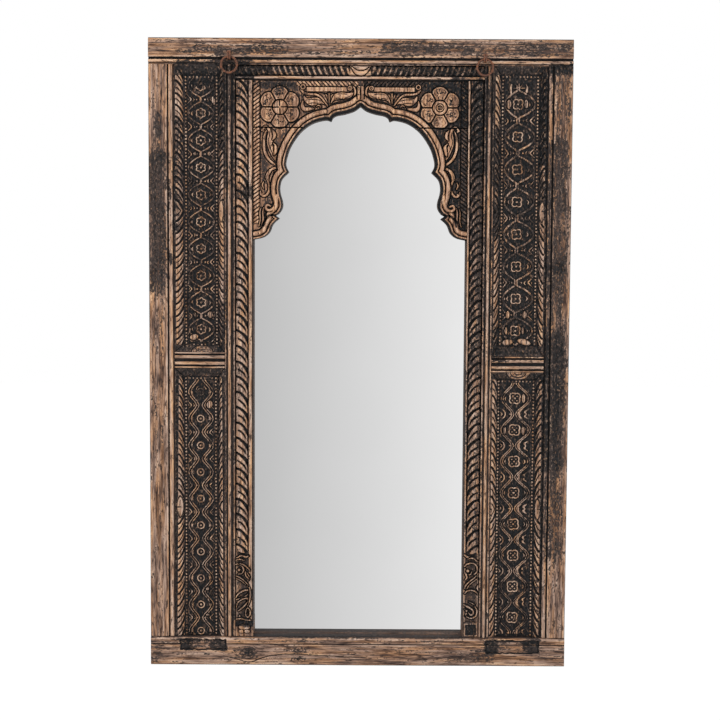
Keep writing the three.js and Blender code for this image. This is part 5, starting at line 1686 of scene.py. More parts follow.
def lintel():
    edges = Edges("rope_lintel")
    relief = Relief(edges.left, edges.foot, edges.right, edges.head, LINTEL_STEP, JAMB_BASE)
    across, up = relief.grid()
    rope_foot, rope_head = edges.foot + LINTEL_ROPE_FOOT, edges.head - LINTEL_ROPE_GAP
    rope = bead(rope_foot, rope_head, JAMB_BASE, JAMB_CREST)
    relief.lay_section(shifted(LINTEL_FOOT, edges.foot) + rope + [(edges.head, JAMB_BASE)], False)
    place = np.abs(across)
    part = np.clip((rope_head - up) / (rope_head - rope_foot), 0, 1)
    wave = (place + LINTEL_SLANT * part**LINTEL_SLANT_CURVE) / LINTEL_PITCH
    wave = wave - np.floor(wave)
    cut = np.clip(1 - np.minimum(wave, 1 - wave) * LINTEL_PITCH / LINTEL_CUT_HALF, 0, 1) ** HALF
    edge = 1 - np.sqrt(np.clip(1 - (2 * part - 1) ** 2, 0, 1))
    clouds = LINTEL_CLOUDS * noise(relief.out.shape, LINTEL_CLOUD_CELLS, LINTEL_SEED)
    inked = np.maximum(INK * cut, edge) + clouds
    twisted = (up > rope_foot) & (place > LINTEL_MOTIF)
    relief.lay(twisted, relief.out - TWIST_CUT_DEPTH * cut, np.maximum(relief.paint, inked))
    relief.ground = JAMB_BASE + LINTEL_SPRIG_GROUND
    middle = (rope_foot + edges.head) / 2
    relief.stroke([(x, middle + y, half) for x, y, half in LINTEL_SPRIG], *LINTEL_SPRIG_CUT)
    relief.weather(*LINTEL_WEATHER)
    rebate = rebate_section("head", edges)
    carved_board("rope_lintel", relief, edges, "teak_carved_level", False, rebate)



# Arch


# Half of the arch's edge from the crown to the springing, as shares of the half opening and rise
ARCH_FOILS = [
    [(0, 1), (0.057, 0.967), (0.143, 0.944), (0.215, 0.933), (0.255, 0.917), (0.274, 0.888)],
    [
        (0.274, 0.888), (0.33, 0.898), (0.45, 0.872), (0.56, 0.808), (0.65, 0.706), (0.69, 0.62),
        (0.7, 0.56), (0.672, 0.508),
    ],
    [
        (0.672, 0.508), (0.737, 0.455), (0.757, 0.398), (0.752, 0.345), (0.733, 0.293), (0.729, 0.253),
        (0.742, 0.222), (0.769, 0.193),
    ],
    [(0.769, 0.193), (0.798, 0.181)], [(0.798, 0.181), (0.76, 0.16)],
    [(0.76, 0.16), (0.802, 0.132), (0.828, 0.105), (0.855, 0.053), (0.913, 0.016), (1, 0)],
]
FOIL_STEPS = 9
ARCH_RISE = 285.0
ARCH_STEP = 0.75
ARCH_LEVEL = BOX_FRONT - 8
ARCH_REACH = 24.0
# Dark paint of the ground, and width of the black round-over at the edge, from left to right; the
# round-over's black is partly dark paint and partly painted shade of the reveal and its reflection in the
# glass
ARCH_GROUND_PAINT = [(-230, 0.3), (-140, 0.36), (-20, 0.42), (40, 0.5), (120, 0.7), (170, 1), (230, 1.1)]
ARCH_SHADED_ROUND_OVER = [(-190, 0), (-130, 2), (-60, 4.6), (100, 5), (160, 4.5), (200, 2)]
# Paint and level from the edge inwards: a round-over in black, partly painted shade, a thin light fillet,
# a groove, the rib
ARCH_RIM = 20.5
ARCH_RIM_PAINT_AND_SHADE = [
    (0, 1.2), (1, 1.1), (1.6, 0), (4.2, 0), (5, 0.6), (6.4, 1.1), (7.4, 0), (17, 0), (17.8, 1.1),
    (19.2, 1.1), (20.5, 0.3),
]
ARCH_EDGE = [
    (-5, -9), (-1, -5), (0, -4), (1.2, 0.5), (2, 4), (4.2, 4.2), (5, 0), (6.4, -2), (7.4, 2), (9.5, 5.2),
    (12, 6), (14.5, 5.2), (16.6, 2), (17.6, -2.5), (19, -3), (20.5, 0), (1000, 0),
]
LIP_WIDTH, LIP_PAINT_AND_SHADE = 1.6, 1.2
ARCH_WEATHER = (0.3, 4.0, 4.0, 101)

# Leaves and scrolls of the left half, as (across, up, half width)
HEAD_LEAVES = [
    [
        (-119.7, 1227.5, 1.6), (-114.9, 1220.2, 4.3), (-104.7, 1217, 7.8), (-94, 1218.1, 7.8),
        (-84.3, 1218.4, 5.3), (-76.3, 1214.2, 2.7), (-69.6, 1208, 0.9),
    ],
    [
        (-126.3, 1243.2, 2.3), (-120.7, 1235.9, 2.3), (-108.3, 1232.7, 2.3), (-95.9, 1232.4, 2.3),
        (-85.2, 1227.2, 2.1), (-76.3, 1217, 1.6), (-68.8, 1206.9, 0.7),
    ],
    [
        (-65.7, 1209.2, 0.9), (-61.3, 1219.7, 2.7), (-53.4, 1227.2, 5.7), (-43.6, 1229.6, 7.5),
        (-33.9, 1230, 6.4), (-24.2, 1231, 5), (-16.6, 1235.2, 1.8),
    ],
    [
        (-65.6, 1205.2, 0.7), (-55.1, 1211.8, 1.6), (-40.9, 1215.8, 1.6), (-26.8, 1218.1, 1.8),
        (-16.2, 1224.7, 2), (-11.6, 1235.4, 2), (-13.1, 1245.8, 1.6), (-19.5, 1251.6, 0.9),
    ],
    [(-74.6, 1233.3, 0.7), (-70.7, 1227.9, 1.6), (-67.8, 1218.4, 1.2), (-66.7, 1208.7, 0.5)],
    [(-58.4, 1233.3, 0.7), (-62.6, 1227.9, 1.6), (-65.4, 1218.4, 1.2), (-66.4, 1208.7, 0.5)],
    [(-66.7, 1235.9, 0.5), (-66.7, 1231, 1.6), (-66.6, 1222.3, 1.1), (-66.6, 1213.5, 0.5)],
    [(-94, 1206.6, 0.7), (-89.8, 1209.4, 1.4), (-85.1, 1207.3, 1.1), (-85.8, 1203.8, 0.5)],
    [
        (-122.7, 1218.4, 1.2), (-123.7, 1208.3, 3.2), (-118.8, 1201.3, 4.3), (-108.1, 1201.7, 3.2),
        (-99.3, 1202.7, 1.1),
    ],
]
HEAD_VEINS = [
    [(-114.4, 1221.9, 0.7), (-104.7, 1221.9, 1.2), (-92.3, 1221.2, 1.1), (-81.3, 1217.4, 0.7)],
    [(-110.8, 1213.2, 0.7), (-101.1, 1214.2, 1.2), (-90.1, 1213.9, 0.9)],
    [(-56.5, 1221.9, 0.7), (-48, 1224.7, 1.2), (-40.6, 1222.3, 1.1), (-37.1, 1227.2, 0.7)],
    [(-33.9, 1224.7, 0.7), (-26.5, 1227.2, 1.1), (-20.5, 1230.3, 0.7)],
    [(-49.9, 1233.1, 0.7), (-39.2, 1233.8, 1.1), (-28.6, 1232.7, 0.7)],
    [
        (-110, 1238, 0.7), (-84.4, 1236.6, 1.1), (-74.6, 1233.4, 1.1), (-66.7, 1239, 1.1),
        (-58.4, 1233.4, 1.1), (-49.9, 1236.6, 1.1), (-28.7, 1238.3, 0.7),
    ],
]
BRACKET_LEAVES = [
    [
        (-198, 1162.4, 1.5), (-191.9, 1153.4, 4.5), (-191.3, 1141.4, 6.5), (-191.9, 1129.4, 6.5),
        (-188.2, 1115.8, 6), (-182.1, 1100.8, 4.5), (-173.5, 1084.2, 1),
    ],
    [(-188.3, 1157.9, 1), (-183.4, 1150.4, 3.2), (-182.8, 1142.9, 3), (-186.4, 1136.9, 1)],
    [(-185.2, 1129.4, 1), (-180.3, 1121.8, 3.4), (-180.9, 1111.3, 3.4), (-183.9, 1103.8, 1)],
    [(-208.9, 1156.4, 2.2), (-203.5, 1163.9, 2.2), (-196.8, 1164.2, 1)],
    [
        (-199.8, 1155.8, 1), (-204, 1144.4, 2.2), (-205.2, 1129.4, 2.8), (-203.4, 1112.8, 3),
        (-196.7, 1097.8, 2.8), (-185.1, 1086.6, 2.2), (-169.2, 1077.6, 0.8),
    ],
    [
        (-169.2, 1075.8, 0.8), (-181.4, 1077, 2.4), (-192.4, 1070.4, 3.2), (-197.8, 1058.6, 3.6),
        (-194.1, 1046.5, 3.2), (-192.9, 1036, 2.6), (-195.9, 1024.5, 2.4), (-203.8, 1017.2, 2.4),
        (-211.2, 1020.9, 2.2), (-212.4, 1026.9, 1.6),
    ],
    [(-185.7, 1069.8, 0.8), (-188.7, 1060.7, 2), (-191.1, 1051.7, 2), (-190.5, 1043.2, 0.8)],
    [(-205.7, 1048, 0.8), (-208.2, 1040.5, 1.6), (-205.1, 1032.9, 0.8)],
    [(-211.7, 991.8, 0.8), (-213.6, 981.5, 1.3), (-212.9, 966.4, 1.3), (-216, 952.8, 0.8)],
    [(-205.6, 993.6, 0.8), (-207.5, 981.5, 1.6), (-206.8, 967.9, 1.6), (-210.5, 952.8, 0.8)],
    [(-199.5, 986.1, 0.8), (-200.7, 975.5, 1.4), (-201.9, 963.4, 1.4), (-205, 951.2, 0.8)],
]
BRACKET_VEINS = [
    [
        (-194.9, 1153.4, 0.8), (-193.1, 1144.4, 1.3), (-196.1, 1133.9, 1.1), (-193.1, 1121.8, 1.3),
        (-188.2, 1109.8, 1.1), (-183.3, 1097.8, 0.7),
    ],
    [(-191.2, 1117.3, 0.7), (-189.4, 1124.8, 1.1), (-184.5, 1126.9, 1.1), (-182.7, 1122.7, 0.7)],
    [(-188.2, 1150.4, 0.7), (-186.4, 1144.4, 1.1), (-188.2, 1139, 0.7)],
    [(-197.8, 1062.5, 0.6), (-199, 1056.5, 1), (-196.6, 1050.4, 0.6)],
    [(-178.1, 977, 1.2), (-187.9, 979.7, 2), (-197.1, 976.7, 1.8), (-201.9, 971.8, 1.2)],
]
LEAF_HEIGHT = 3.8
ARCH_MOAT = 2.0
ARCH_MOAT_DEPTH = 3.4
VEIN_DEPTH = 2.6
# Eyes of the scrolls: across, up, radius and width, with their rise and moat, and the round dots
EYE_RINGS = [(22.7, 1245.9, 4.0, 2.4), (122.3, 1248.3, 4.4, 2.6)]
EYE_RING_CUT = (3.6, 1.6, 3.0)
ARCH_DOTS = [(22.7, 1245.9, 1.8), (206.5, 1155.0, 2.0), (208.0, 1021.5, 2.2)]
ARCH_DOT_RISE = 3.6

# The end of the second foil's rib, and the cut that parts it from the third's
FOOT_VOLUTES = [
    [
        (-177.6, 1017.8, 4.6), (-179.4, 1001.2, 4.3), (-184.9, 990.6, 3.7), (-194, 987, 3.3),
        (-200.8, 991.8, 3), (-197.7, 998.5, 2.7), (-191, 996.1, 1.8),
    ],
]
FOOT_GAPS = [
    [
        (-173.9, 975.5, 1.8), (-183.3, 977, 2.7), (-194, 975.5, 3.3), (-201.6, 966.4, 3),
        (-205.6, 954.3, 2.7),
    ],
]
FOOT_GAP_DEPTH = 5.0
VOLUTE_EYE = (193.1, 992.1)
VOLUTE_REACH = 9.5
VOLUTE_DEPTH, VOLUTE_PAINT, VOLUTE_RISE = 1.5, 1.1, 6.2

# The board at the crown: half width, foot, distance from the head, and its section
SPINE_HALF, SPINE_FOOT, SPINE_GAP = 9, 1222, 12
SPINE = [(0.0, -3.0), (0.8, 2.0), (1.6, 5.0), (4.0, 5.5), (6.2, 4.0), (7.4, -3.0), (9.0, -3.0)]
HEAD_EDGE, HEAD_EDGE_DEPTH = 0.8, 2.0
SEAM_HALF, SEAM_DEPTH = 0.9, 4.0
# How far past the seam the arch's edge is read for each board
HEAD_MARGIN, BRACKET_MARGIN = 6.0, 4.0

FLOWER_ACROSS = {-1: 171.5, 1: 168.5}
FLOWER_UP = 1205.5
PETALS = 6
PETAL_REACH = 29.0
PETAL_HALF_LONG = 15.0
PETAL_HALF_WIDE = 17.6
PETAL_GAP = 1.0
PETAL_MOAT = 2.4
# From outside a petal's edge inwards: the moat, the rim, a line inside it and the field
PETAL_SECTION = [
    (-2.4, 0), (-1, -3.4), (0.3, 1.5), (1.5, 4.6), (2.8, 4.2), (3.6, 2.2), (5, 3), (12, 4.4),
]
PETAL_BLOTS = (0.5, 0.3, 0.5, 0.05, 0.2, 0.34)
BLOT_SIZES = (6.0, 11.0)
PETAL_PITS = 9
PIT_SPREAD, PIT_LENGTH, PIT_DEPTH = 4.2, 2.4, 1.6
PIT_SIZES = (1.0, 1.9)
FLOWER_EYE = 15.4
FLOWER_EYE_LIFT = 0.3
# The right flower's eye: a ring, a dish and the dark in it
ROUND_EYE = (6.4, 2.2, 4.6, 1.8, 1.5)
ROUND_DISH = (4.5, 3.0)
ROUND_BLOT_SHIFT, ROUND_BLOT_PAINT = 1, 0.8
# The left flower's eye: a cross of two cuts, their turn, length, half width and depth, and its boss
CROSS_TURN, CROSS_REACH, CROSS_HALF, CROSS_DEPTH = 0.05, 15, 1.6, 3.4
CROSS_BOSS = 3.0

# The narrow twisted border
BORDER_PITCH = 8.5
BORDER_CUT_HALF = 1.7
BORDER_KEPT = 1.06
BORDER_RISE, BORDER_CUT_DEPTH = 2.8, 3.4
BORDER_EDGE_SHARE, BORDER_EDGE_PAINT = 0.3, 0.9
# Beside the opening: width, distance above the foot, slant, middle and half width
BESIDE_WIDTH, BESIDE_FOOT, BESIDE_SLANT, BESIDE_HALF = 14.0, 36.0, 0.75, 6.7
# Under the lintel: from and to across, from and to below the head, slant, middle and half width
UNDER_START, UNDER_END, UNDER_TOP, UNDER_FOOT = 5.0, 136.0, 1.0, 12.5
UNDER_SLANT, UNDER_MIDDLE, UNDER_HALF = 0.9, 6.8, 5.4
# The fillet under it, and the cuts that edge both borders: place and half width
BAR_START, BAR_END, BAR_TOP, BAR_FOOT = 29.0, 114.0, 14.0, 23.0
BAR_RISE, BAR_PAINT = 2.6, 0.05
EDGE_PLACE, EDGE_HALF = 14.5, 0.9
LINE_PLACE, LINE_HALF, LINE_MARGIN, LINE_START = 13.3, 0.8, 2.0, 28.0
EDGE_DEPTH = 3.0


def arch_line(base, half):
    """The left half of the arch's edge, from the springing to the crown."""
    points = []
    for foil in ARCH_FOILS:
        line = smooth_line([(x, y, 1) for x, y in foil], FOIL_STEPS)
        points.extend(line[:, :2] if not points else line[1:, :2])
    line = np.array(points)
    return np.stack([-line[::-1, 0] * half, base + line[::-1, 1] * ARCH_RISE], axis=1)


def arch_distance(relief, line):
    """How far each place is from the arch's edge."""
    best = np.full(relief.out.shape, FAR)
    for start, end in zip(line, line[1:]):
        box, distance, _ = relief.near_segment(start, end, ARCH_REACH)
        best[box] = np.minimum(best[box], distance)
    return best


def foot_volute(relief, sign):
    """Ends the second foil's rib in a volute and cuts it free of the third's."""
    for points in FOOT_GAPS:
        relief.groove(handed(points, sign), FOOT_GAP_DEPTH)
    x, y = relief.grid()
    eye = np.hypot(x - sign * VOLUTE_EYE[0], y - VOLUTE_EYE[1])
    relief.lay(eye < VOLUTE_REACH, ARCH_LEVEL - VOLUTE_DEPTH, VOLUTE_PAINT)
    for points in FOOT_VOLUTES:
        relief.stroke(handed(points, sign), VOLUTE_RISE)


def petals(relief, across, up, step):
    """Six broad petals in a ring."""
    x, y = relief.grid()
    x, y = x - across, y - up
    far = np.hypot(x, y)
    turn = np.arctan2(y, x) / step - HALF
    off = np.abs(turn - np.round(turn)) * step
    long, wide = (far * np.cos(off) - PETAL_REACH) / PETAL_HALF_LONG, far * np.sin(off) / PETAL_HALF_WIDE
    inside = np.minimum(far * np.sin(step * HALF - off), far - FLOWER_EYE) - PETAL_GAP
    inside = np.minimum((1 - np.hypot(long, wide)) * PETAL_HALF_LONG, inside)
    level = np.interp(inside, *zip(*PETAL_SECTION))
    relief.lay(inside > -PETAL_MOAT, relief.ground + level, INK * (1 - share(inside, 0.0, 1.0)))


def flower(relief, across, up, round_eye):
    """Six broad petals about an eye, blotted and pitted by the years."""
    step = math.tau / PETALS
    petals(relief, across, up, step)
    random = np.random.default_rng(round(abs(across)) + round_eye)
    for number, amount in enumerate(PETAL_BLOTS):
        angle = (number + HALF) * step
        middle_x, middle_y = across + PETAL_REACH * math.cos(angle), up + PETAL_REACH * math.sin(angle)
        relief.blot(middle_x, middle_y, random.uniform(*BLOT_SIZES), amount)
        for _ in range(PETAL_PITS):
            x, y = (middle_x, middle_y) + random.normal(0, PIT_SPREAD, 2)
            size = random.uniform(*PIT_SIZES)
            end = (x + random.normal(0, PIT_LENGTH), y + random.normal(0, PIT_LENGTH), size)
            relief.groove([(x, y, size * HALF), end], PIT_DEPTH)
    eye_rise = LEAF_HEIGHT + FLOWER_EYE_LIFT
    relief.oval(across, up, FLOWER_EYE, FLOWER_EYE, eye_rise, ARCH_MOAT, ARCH_MOAT_DEPTH)
    if round_eye:
        relief.ring(across, up, *ROUND_EYE)
        relief.dish(across, up, *ROUND_DISH)
        relief.blot(across - ROUND_BLOT_SHIFT, up, ROUND_DISH[0], ROUND_BLOT_PAINT)
        return
    for angle in (CROSS_TURN, QUARTER_TURN + CROSS_TURN):
        x, y = CROSS_REACH * math.cos(angle), CROSS_REACH * math.sin(angle)
        ends = [(across - x, up - y, CROSS_HALF), (across, up, CROSS_HALF), (across + x, up + y, CROSS_HALF)]
        relief.groove(ends, CROSS_DEPTH)
    relief.oval(across, up, CROSS_BOSS, CROSS_BOSS, LEAF_HEIGHT)


def rope_border(relief, sign, half):
    """The narrow twisted border beside the opening and under the lintel."""
    across, up = relief.grid()
    place, drop = across * sign, relief.up[-1] - up
    high = up > relief.up[0] + BESIDE_FOOT
    beside = (place > half - BESIDE_WIDTH) & high
    under = (drop < UNDER_FOOT) & (drop > UNDER_TOP) & (place < UNDER_END) & (place > UNDER_START)
    from_beside = np.abs(place - half + BESIDE_HALF) / BESIDE_HALF
    from_under = np.abs(UNDER_MIDDLE - drop) / UNDER_HALF
    borders = (
        (beside, up - (half - place) * BESIDE_SLANT, from_beside),
        (under, place + drop * UNDER_SLANT, from_under),
    )
    for inside, along, away in borders:
        wave = along / BORDER_PITCH
        wave = np.abs(wave - np.round(wave)) * BORDER_PITCH
        fade = np.clip(1 - away, 0, 1) ** HALF
        cut = np.clip(1 - wave / BORDER_CUT_HALF, 0, 1) ** HALF * (fade > BORDER_EDGE_SHARE)
        inked = np.maximum(INK * cut, BORDER_EDGE_PAINT * (fade < BORDER_EDGE_SHARE))
        if sign > 0:
            inked = np.maximum(inked, BORDER_KEPT)
        relief.lay(inside, ARCH_LEVEL + BORDER_RISE * fade - BORDER_CUT_DEPTH * cut, inked)
    bar = (drop < BAR_FOOT) & (drop > BAR_TOP) & (place < BAR_END) & (place > BAR_START)
    edge = (np.abs(place - half + EDGE_PLACE) < EDGE_HALF) & high
    line = (np.abs(LINE_PLACE - drop) < LINE_HALF) & (place < BAR_END + LINE_MARGIN) & (place > LINE_START)
    relief.lay(bar, ARCH_LEVEL + BAR_RISE, BAR_PAINT)
    relief.lay(edge | line, ARCH_LEVEL - EDGE_DEPTH, INK)


def carve_arch(relief, half):
    """All the ornament of the arch head and the brackets."""
    for sign in SIDES.values():
        rope_border(relief, sign, half)
        flower(relief, sign * FLOWER_ACROSS[sign], FLOWER_UP, sign > 0)
        for points in HEAD_LEAVES + BRACKET_LEAVES:
            relief.stroke(handed(points, sign), LEAF_HEIGHT, ARCH_MOAT, ARCH_MOAT_DEPTH)
        for points in HEAD_VEINS + BRACKET_VEINS:
            relief.groove(handed(points, sign), VEIN_DEPTH)
        for across, up, radius, width in EYE_RINGS:
            relief.ring(sign * across, up, radius, width, *EYE_RING_CUT)
        for across, up, radius in ARCH_DOTS:
            relief.oval(sign * across, up, radius, radius, ARCH_DOT_RISE)


def arch_piece(name, relief, edges, across, up, turned):
    """A board of the arch, on a grid of points that follows the arch's edge."""
    out = np.clip(relief.sample(relief.out, across, up), edges.back + THINNEST, edges.front)
    values = {"hollow": relief.hollow(), "paint": relief.paint}
    values = {key: relief.sample(value, across, up) for key, value in values.items()}
    back = to_metres(across[:, [0, -1]], edges.back + 0 * across[:, :2], up[:, [0, -1]])
    mesh = closed_board(name, to_metres(across, out, up), back, turned, values)
    piece(name + "_carved", mesh, "teak_arch", (name,))


def arch_head_mesh(relief, edges, line):
    """The head board, in columns that run from the arch's edge up to the lintel."""
    places = np.linspace(edges.left, edges.right, round(edges.width / ARCH_STEP) + 1)
    above = line[line[:, 1] > edges.foot - HEAD_MARGIN]
    above = above[np.argsort(above[:, 0])]
    edge = np.interp(-np.abs(places), above[:, 0], above[:, 1])
    edge = np.where(-np.abs(places) < above[0, 0], edges.foot, np.maximum(edge, edges.foot))
    part = np.linspace(0, 1, round(edges.height / ARCH_STEP) + 1)[None, :]
    up = edge[:, None] + (edges.head - edge[:, None]) * part
    arch_piece("arch_head", relief, edges, places[:, None] + 0 * up, up, True)


def bracket_mesh(relief, side, line):
    """A bracket, in rows that run from the arch's edge out to the jamb."""
    name = "arch_bracket_" + side
    edges = Edges(name)
    heights = np.linspace(edges.foot, edges.head, round(edges.height / ARCH_STEP) + 1)
    below = line[line[:, 1] < edges.head + BRACKET_MARGIN]
    inner = np.interp(heights, np.maximum.accumulate(below[:, 1]), -below[:, 0])
    outer = abs(edges.left if side == "left" else edges.right)
    inner = np.minimum(inner, outer - THINNEST)
    part = np.linspace(0, 1, round(edges.width / ARCH_STEP) + 1)[None, :]
    across = SIDES[side] * (inner[:, None] + (outer - inner[:, None]) * part)
    if side == "left":
        across = across[:, ::-1]
    arch_piece(name, relief, edges, across, heights[:, None] + 0 * across, False)


def arch():
    head, left = Edges("arch_head"), Edges("arch_bracket_left")
    relief = Relief(head.left, left.foot, head.right, head.head, ARCH_STEP, ARCH_LEVEL)
    across, up = relief.grid()
    line = arch_line(left.foot, Edges("rope_jamb_right").left)
    whole = np.vstack([line, np.stack([-line[::-1, 0], line[::-1, 1]], axis=1)[1:]])
    # The arch's edge is pushed in by a band painted black, partly dark paint and partly painted shade of the
    # reveal
    away = arch_distance(relief, whole) - np.interp(across, *zip(*ARCH_SHADED_ROUND_OVER))
    relief.paint += np.interp(across, *zip(*ARCH_GROUND_PAINT))
    carve_arch(relief, head.right)
    rim, rim_paint_and_shade = (np.interp(away, *zip(*section)) for section in (ARCH_EDGE, ARCH_RIM_PAINT_AND_SHADE))
    relief.lay(away < ARCH_RIM, ARCH_LEVEL + rim, rim_paint_and_shade)
    for sign in SIDES.values():
        foot_volute(relief, sign)
    spine = (np.abs(across) < SPINE_HALF) & (up > SPINE_FOOT) & (up < head.head - SPINE_GAP)
    spine_level = np.interp(np.abs(across), *zip(*SPINE))
    relief.lay(spine, ARCH_LEVEL + spine_level, relief.paint)
    relief.lay(up > head.head - HEAD_EDGE, ARCH_LEVEL - HEAD_EDGE_DEPTH, relief.paint)
    relief.weather(*ARCH_WEATHER)
    relief.lay(np.abs(up - left.head) < SEAM_HALF, ARCH_LEVEL - SEAM_DEPTH, relief.paint)
    # A black lip along the edge, partly dark paint and partly painted shade of the reveal and its reflection
    relief.lay(away < LIP_WIDTH, relief.out, LIP_PAINT_AND_SHADE)
    lay_stains(relief, "arch")
    arch_head_mesh(relief, head, line)
    for side in SIDES:
        bracket_mesh(relief, side, line)


PLINTH_STEP = 0.8
PLINTH_FACE = BOX_FRONT - 1
PLINTH_DEPTH = 3.0
PLINTH_WEATHER = (0.3, 4.0, 4.0, 111)
# The left block's lobes, from its middle, and the right block's square, its edge and its margin
PLINTH_LOBES = [
    (0.0, 3.0, 12.5, 6.5, 4.2, 1.5, 2.0), (-6.0, -6.0, 6.5, 4.0, 3.6, 1.2, 2.0),
    (6.0, -6.0, 6.5, 4.0, 3.6, 1.2, 2.0),
]
PLINTH_SQUARE = (10.5, 12.0)
PLINTH_MARGIN = (13.5, 14.5)
PLINTH_MARGIN_DEPTH = 2.0


def plinth(side):
    name = "plinth_block_" + side
    edges = Edges(name)
    relief = Relief(0.0, edges.foot, edges.width, edges.head, PLINTH_STEP, PLINTH_FACE - PLINTH_DEPTH)
    across, up = relief.grid()
    middle, centre = (edges.foot + edges.head) / 2, edges.width / 2
    if side == "left":
        for x, y, *shape in PLINTH_LOBES:
            relief.oval(centre + x, middle + y, *shape)
    else:
        square = np.maximum(np.abs(across - centre), np.abs(up - middle))
        relief.out = PLINTH_FACE - PLINTH_DEPTH * (1 - share(square, *PLINTH_SQUARE))
        relief.out = relief.out - PLINTH_MARGIN_DEPTH * share(square, *PLINTH_MARGIN)
    relief.settle(side, edges)
    relief.weather(*PLINTH_WEATHER)
    carved_board(name, relief, edges, "teak_carved", rebate=rebate_section(side, edges))


# Stage


CAMERA_LENS = 84.22
CAMERA_SENSOR = 36.0
CAMERA_PLACE = (0.0, -3.672, 0.3)
CAMERA_PITCH = 4.87
CAMERA_ROLL = -0.32
WHITE = "#FFFFFF"
ROOM_LIGHT, SEEN_LIGHT = 0.6, 1.0
MIRROR_LEFT_LIGHT = 0.545
MIRROR_RIGHT_LIGHT = 0.86
MIRROR_SPREAD = 0.066
FLOOR_TONE = "#F4F3F1"
FLOOR_HALF, FLOOR_GAP = 6.0, 0.0005
FLOOR_LIGHT, FLOOR_LIGHT_SHARE = 1.06, 0.93
# Each lamp's place, size and power; all are aimed at the foot of the wall face
LAMPS = {"key": ((-1.7, -2.2, 2.3), 1.6, 62), "fill": ((2.4, -2.6, 0.6), 2.0, 26)}


def stage_world():
    """White behind the object, a pale room round it, and a softly graded room in front of the glass."""
    world = bpy.data.worlds.new("studio")
    bpy.context.scene.world = world
    world.use_nodes = True
    tree = world.node_tree
    tree.nodes.clear()
    rays = add_node(tree, "ShaderNodeLightPath").outputs
    direction = add_node(tree, "ShaderNodeTexCoord").outputs["Generated"]
    sideways = add_node(tree, "ShaderNodeSeparateXYZ", (direction,))
    graded = (sideways, -MIRROR_SPREAD, MIRROR_SPREAD, MIRROR_LEFT_LIGHT, MIRROR_RIGHT_LIGHT)
    graded = add_node(tree, "ShaderNodeMapRange", graded)
    lights = (ROOM_LIGHT, SEEN_LIGHT, graded)
    room, seen, glossy = [add_node(tree, "ShaderNodeBackground", (linear(WHITE), light)) for light in lights]
    lit = add_node(tree, "ShaderNodeMixShader", (rays["Is Glossy Ray"], room, glossy))
    shown = (rays["Is Camera Ray"], rays["Is Transmission Ray"])
    shown = add_node(tree, "ShaderNodeMath", shown, operation="MAXIMUM")
    both = add_node(tree, "ShaderNodeMixShader", (shown, lit, seen))
    add_node(tree, "ShaderNodeOutputWorld", (both,))


def stage_lamp(name, place, size, power):
    lamp = bpy.data.lights.new(name, "AREA")
    lamp.shape = "RECTANGLE"
    lamp.size = lamp.size_y = size
    lamp.energy = power
    holder = bpy.data.objects.new(name, lamp)
    bpy.context.scene.collection.objects.link(holder)
    holder.location = place
    holder.rotation_euler = (-Vector(place)).to_track_quat("-Z", "Y").to_euler()
    holder.visible_glossy = False


def stage_floor():
    mesh = bpy.data.meshes.new("floor")
    half, level = FLOOR_HALF, CAD_BOX[0][2] - FLOOR_GAP
    corners = [(-half, -half, level), (half, -half, level), (half, half, level), (-half, half, level)]
    mesh.from_pydata(corners, [], [(0, 1, 2, 3)])
    floor = bpy.data.objects.new("floor", mesh)
    bpy.context.scene.collection.objects.link(floor)
    material, tree = new_tree("pale_floor")
    seen = add_node(tree, "ShaderNodeLightPath").outputs["Is Camera Ray"]
    matt = add_node(tree, "ShaderNodeBsdfDiffuse", (linear(FLOOR_TONE),))
    white = add_node(tree, "ShaderNodeEmission", (linear(WHITE), FLOOR_LIGHT))
    amount = add_node(tree, "ShaderNodeMath", (seen, FLOOR_LIGHT_SHARE), operation="MULTIPLY")
    both = add_node(tree, "ShaderNodeMixShader", (amount, matt, white))
    add_node(tree, "ShaderNodeOutputMaterial", (both,))
    mesh.materials.append(material)
    floor.visible_glossy = False


def stage_camera():
    data = bpy.data.cameras.new("camera")
    data.lens = CAMERA_LENS
    data.sensor_width = CAMERA_SENSOR
    camera = bpy.data.objects.new("camera", data)
    bpy.context.scene.collection.objects.link(camera)
    camera.location = CAMERA_PLACE
    camera.rotation_euler = (math.radians(90 - CAMERA_PITCH), math.radians(CAMERA_ROLL), 0)
    bpy.context.scene.camera = camera


# Iron


RING_UNEVENNESS = 0.8
STRAND_TAPER = [(0.0, 0.8), (1.0, 1.0)]
STRAND_PARTING = 0.25
STRAND_THICK = 3.0
STRAND_BEND = 3.2
STRAND_FACETS = 14
STRAND_SQUARENESS = 0.7
BEND_STEPS = 6


def iron_ring(side):
    """A hammered ring in place of the plain one."""
    name = "iron_ring_" + side
    low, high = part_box(name)
    bar = (high.y - low.y) / 2
    settings = {"Centre": list((low + high) / 2), "Radius": (high.x - low.x) / 2 - bar, "Bar": bar}
    settings["Unevenness"] = RING_UNEVENNESS * MM
    settings["Material"] = finish("rusty_iron")
    mesh = run_tree(tree_named("ring"), name + "_forged", settings)
    piece(name + "_forged", mesh, "rusty_iron", (name,), side + "_ring")


def squared(values):
    """A round wave pushed out towards a square one, as hammering does to a bar."""
    return np.sign(values) * np.abs(values) ** STRAND_SQUARENESS


